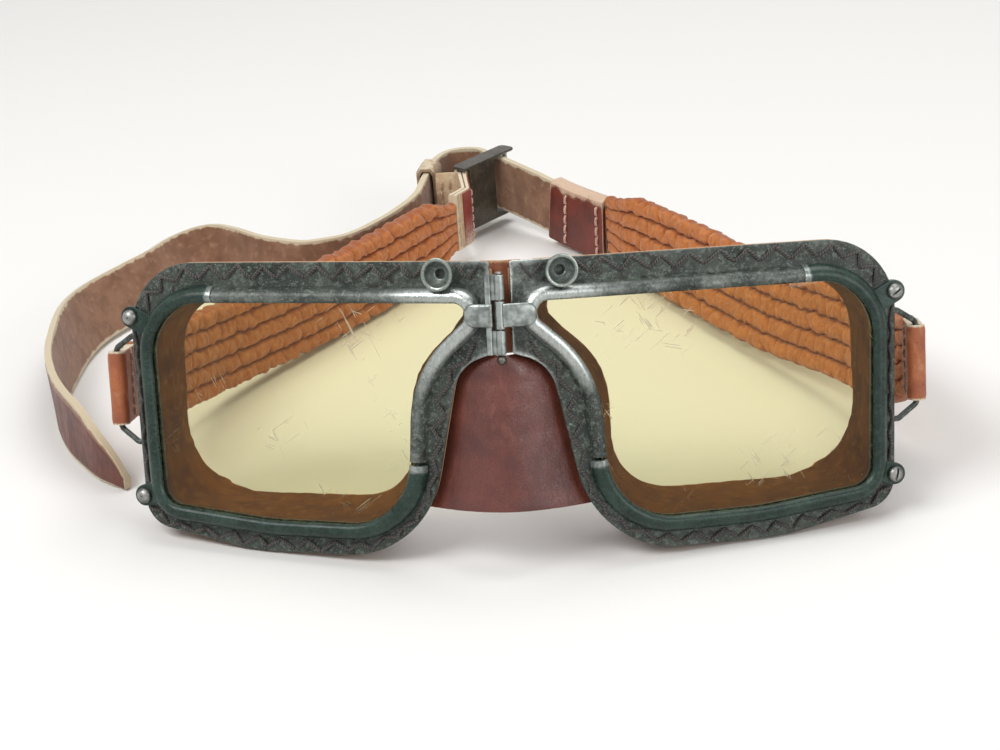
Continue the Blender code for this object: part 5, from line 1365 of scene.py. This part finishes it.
def tab_flap(face):
    """Outer and inner line of one of the tab's flaps, from the elastic to the roll."""
    knee = tab_knee + (tab_side + bar_side) * face * tab_half / 2
    mouth = on_roll(tab_base - face * tab_mouth)
    outer = [(tab_foot + tab_side * face * tab_half).lerp(knee, t) for t in (0.0, 0.33, 0.66)]
    inner = [tab_foot.lerp(tab_knee, t) + tab_side * face * 0.05 for t in (0.0, 0.33, 0.66)]
    outer += [knee.lerp(mouth, t) for t in (0.0, 0.5)]
    inner += [tab_knee.lerp(tab_bar - to_bar * tab_hole, t) + bar_side * face * 0.05
              for t in (0.0, 0.5)]
    return outer, inner


def tab_shape():
    """Pale leather tab folded round the buckle's bar, its flaps meeting at the elastic."""
    roll = rolled(tab_bar, tab_base, (tab_roll, tab_mouth), (tab_hole, 0.05))
    outer, inner = (there + round_bar + back[::-1] for there, round_bar, back in zip(
        tab_flap(1), roll, tab_flap(-1)))
    seams = [stitch for face in (1, -1) for stitch in seam(
        tab_foot + tab_way * 1.5 + tab_side * (face * 1.36), tab_low + 1.0, 7, 2.55, 1.9,
        tab_side * face * 0.28)]
    return folded(outer, inner, tab_low, tab_low + tab_height, 16, 0.5), stitch_row(seams, 0.22)


def lining_shape():
    """Dark lining strip on the tab's inner face, and its row of stitches."""
    foot, knee = tab_foot - tab_side * tab_half, tab_knee - (tab_side + bar_side) * tab_half / 2
    line = [foot.lerp(knee, 0.45), foot.lerp(knee, 0.8), knee,
            knee.lerp(on_roll(tab_base + tab_mouth), 0.9)]
    outward = (tab_side + bar_side).normalized()
    proud = [p - outward * 0.4 for p in line]
    sunk = [p + outward * 0.1 for p in reversed(line)]
    low = tab_low + 0.5
    seams = seam(proud[2].lerp(proud[3], 0.12), low + 0.8, 6, 2.75, 1.9, bar_side * -0.3)
    return standing(proud + sunk, low, low + tab_height - 1.0, 0.08), stitch_row(seams, 0.3)


def flap_shape():
    """Pale flap that runs from the buckle's bar towards the keeper, sewn with two upright rows of
    stitches.
    """
    begin, reach = tab_bar + Vector((-1.6, -0.9)), Vector((-6.4, -0.6))
    thick = Vector((0.0, -0.6))
    line = [begin + reach * t + Vector((0.0, 0.25 * math.sin(3.0 * t))) for t in
            (0.0, 0.25, 0.5, 0.75, 1.0)]
    outline = [p + thick for p in line] + [p - thick for p in reversed(line)]
    low = tab_low + 0.4
    seams = [stitch for across in (0.35, 0.75) for stitch in seam(
        begin + reach * across + thick * 1.02, tab_low + 3.0, 4, 3.3, 2.3, (0.0, -0.26))]
    return standing(outline, low, low + tab_height - 0.6, 0.2, 0.4), stitch_row(seams, 0.24)


for (leather_made, thread_made), name, piece, skin, ink, nodes in (
        (tab_shape(), "left_tab", "_fold", "tab_leather", "stitch_thread", ["left_end_tab"]),
        (lining_shape(), "left_tab_lining", "", "lining_leather", "patch_thread", ()),
        (flap_shape(), "left_tab_flap", "", "tab_leather", "patch_thread", ())):
    leather_made.build(name + piece, skin, nodes, slot="tab_leather")
    thread_made.build(f"{name}_stitches", ink, sharp=60.0)

patch_wall, patch_long, keeper_wall, keeper_long = 1.2, 25.0, 1.2, 8.0
patch_level = (gap + patch_wall) / strap_lift


def strap_level(lift_share, tilt):
    """Height of the strap's middle, from its lift and its lean."""
    angle = math.radians(tilt)
    half_tall = (strap_width * math.cos(angle) + strap_thickness * math.sin(angle)) / 2
    return half_tall + strap_lift * lift_share


def strap_spots():
    """Control points of the adjusting strap, from the patch to its free tip."""
    end, way = panel_frames(1, 16)[-1][:2]
    start = Vector((end.x, end.y, 0.0)) + Vector((way.x, way.y, 0.0)).normalized() * 0.6
    window_along = (plate_along + buckle_plate + end_bar_along) / 2
    window = buckle_point(window_along, buckle_width * 0.35)
    window_way = (window - start).normalized()
    spots = [start, start.lerp(window, 0.33), start.lerp(window, 0.66), window,
             window + window_way * buckle_width]
    levels = (patch_level, patch_level + 0.1, 0.75, 1.0, 1.0)
    spots = [four((p.x, p.y, strap_level(level, 0.0))) for p, level in zip(spots, levels)]
    for across, depth, level, tilt in free_end_shares:
        spots.append(four(plan_point(across, depth, strap_level(level, tilt)), -tilt))
    return spots


strap_line = stations(smooth_path(strap_spots(), 420))
strap_run = lengths([f[0] for f in strap_line])


def strap_shape():
    """Flat strap: suede on one face, smooth dark grain on the other, pale cut edges."""
    total, count, thick = strap_run[-1], 9, strap_thickness / 2
    rows = []
    for k, (spot, _, up, out) in enumerate(strap_line):
        part = min(1.0, (total - strap_run[k]) / tip_length)
        wide = strap_width / 2 * max(0.16, math.sin(math.pi / 2 * part) ** 0.5)
        sink = up * (strap_width / 2 - wide)
        row = []
        for face in (1, -1):
            for number in range(count + 1):
                t = face * (1 - 2 * number / count)
                edge = 0.28 if number in (0, count) else 0.0
                worn = 0.05 * wobble(strap_run[k] / 3, t * 2, face)
                row.append((spot + out * face * (thick - edge + worn) + up * (t * wide) - sink,
                            (strap_run[k], t, 0.2), 1.2 if edge else 0.0))
            row.append((spot + out * face * (thick * 0.45) - up * (face * wide) - sink,
                        (strap_run[k], 1.0, 0.0), 1.0))
        if k == len(strap_line) - 1:
            row = [(point, tone, 1.0) for point, tone, _ in row]
        rows.append(row)
    return Shape().rows(rows, inks=[0] * (count + 1) + [1] * count + [0] * 3)


strap_shape().build("adjusting_strap_leather", "strap_suede strap_grain", ["adjusting_strap"],
                    slot="strap_leather")


def strap_stretch(start, length, count):
    """Stations over a stretch of the strap."""
    path = [Vector((*f[0], 0.0)) for f in strap_line]
    return stations([at(path, strap_run, start + length * k / count) for k in range(count + 1)])


def sleeve_shape(frames, wall, count, scuff=0.0, room=gap):
    """Leather wrapped round the strap, open at both ends; scuff bares its upper edge."""
    thick, wide = strap_thickness / 2 + room, strap_width / 2 + (room + gap) / 2
    run = lengths([f[0] for f in frames])
    last = len(frames) - 1
    rows = []
    for face, across in ([(1, 1 - 2 * k / count) for k in range(count + 1)]
                         + [(-1, -1 + 2 * k / count) for k in range(count + 1)]):
        corner = abs(across) > 0.999
        row = []
        for k in list(range(last + 1)) + list(range(last, -1, -1)):
            spot, _, up, out = frames[k]
            outside = len(row) <= last
            lift = wall if outside else 0.0
            if outside and k in (0, last):
                lift -= 0.2
            fold = 0.55 if corner else 1.0
            w = (wide + lift) * across
            edge = 0.85 if (k in (0, last) or corner) and outside else 0.0
            top = scuff * step(w + 1.3 * wobble(run[k] / 4.0, 3.0), 5.2, 9.6)
            row.append((spot + out * (face * (thick * fold + lift * fold)) + up * w,
                        (run[k], w, 0.3 if outside else 0.0), max(edge, top)))
        rows.append(row)
    return Shape().rows(rows, along=True)


sleeve_shape(strap_stretch(gap, patch_long, 30), patch_wall, 24, scuff=0.9).build(
    "patch_wrap", "patch_leather", ["strap_patch"], sharp=50.0)
patch_seams = []
for face in (1, -1):
    height = face * (strap_thickness / 2 + gap + patch_wall - 0.02)
    for row in (2.8, 17.4):
        spot, _, up, out = strap_stretch(row, 1.0, 1)[0]
        for k in range(5):
            low = spot + out * height + up * (-8.4 + k * 3.3)
            patch_seams.append((low, low + up * 2.5, out * face * 0.38))
stitch_row(patch_seams, 0.42).build("patch_stitches", "patch_thread", sharp=60.0)

keeper_spot = plan_point(*keeper_at, 0.0)
close = min(range(len(strap_line)), key=lambda k: (strap_line[k][0] - keeper_spot).xy.length)
keeper = sleeve_shape(strap_stretch(strap_run[close] - keeper_long / 2, keeper_long, 12),
                      keeper_wall, 12, room=0.9)
keeper.build("keeper_wrap", "keeper_leather", ["keeper_loop"], "keeper", sharp=50.0)

# Floor, light and camera
white = (1.0, 1.0, 1.0)
pale = Look("pale_floor", Roughness=0.9, Specular_IOR_Level=0.1)
reach = pale.node("VectorMath", {0: pale.node("TexCoord").outputs["Object"]},
                  operation="LENGTH").outputs["Value"]
shown = pale.seen()
far = pale.math("MULTIPLY", pale.ramp(reach, 0.35, 1.5), shown)
pale.put(pale.shader, "Emission Color", white)
pale.put(pale.shader, "Emission Strength", pale.math("MULTIPLY", far, 0.9))
pale.finish(pale.mix(far, (0.80, 0.79, 0.77), (0.0, 0.0, 0.0)))
floor_mesh = bpy.data.meshes.new("floor")
floor_mesh.from_pydata([(-6, -6, 0), (6, -6, 0), (6, 6, 0), (-6, 6, 0)], [], [(0, 1, 2, 3)])
floor = bpy.data.objects.new("floor", floor_mesh)
bpy.context.scene.collection.objects.link(floor)
floor.location.z = -0.0004
floor_mesh.materials.append(pale.material)

world = bpy.data.worlds.new("studio")
bpy.context.scene.world = world
world.use_nodes = True
studio = Nodes(world.node_tree)
background = world.node_tree.nodes["Background"]
level = studio.node("MapRange", {"Value": studio.seen(), "To Min": 0.32, "To Max": 0.9})
studio.put(background, "Strength", level.outputs[0])
studio.put(background, "Color", white)


def lamp(name, place, size, power):
    """A soft white area lamp aimed at the goggles."""
    light = bpy.data.lights.new(name, "AREA")
    light.shape = "RECTANGLE"
    light.size, light.size_y = size
    light.energy = power
    made = bpy.data.objects.new(name, light)
    bpy.context.scene.collection.objects.link(made)
    made.location = place
    aim = Vector((0.0, -0.03, 0.03))
    made.rotation_euler = (aim - Vector(place)).to_track_quat("-Z", "Y").to_euler()


lamp("key", (-0.55, -0.55, 0.95), (0.7, 0.5), 9.0)
lamp("top", (0.25, 0.25, 1.15), (0.9, 0.9), 8.0)
lamp("fill", (0.85, -0.75, 0.45), (0.6, 0.6), 4.0)

camera_data = bpy.data.cameras.new("camera")
camera = bpy.data.objects.new("camera", camera_data)
bpy.context.scene.collection.objects.link(camera)
bpy.context.scene.camera = camera
camera_data.sensor_width = 36.0
camera_data.lens = 84.7
camera_data.clip_start, camera_data.clip_end = 0.01, 50.0
forward = Vector((-0.0741, 0.9130, -0.4012)).normalized()
lean_up = leaned.to_3x3() @ upright
level_right = forward.cross(lean_up).normalized()
level_up = level_right.cross(forward)
roll = math.radians(-2.5)
right = level_right * math.cos(roll) + level_up * math.sin(roll)
up = right.cross(forward)
camera.matrix_world = Matrix.Translation((hinge + Vector((39.0, -491.2, 201.1))) / 1000) @ Matrix(
    (right, up, -forward)).transposed().to_4x4()

bpy.context.scene.view_settings.view_transform = "Standard"
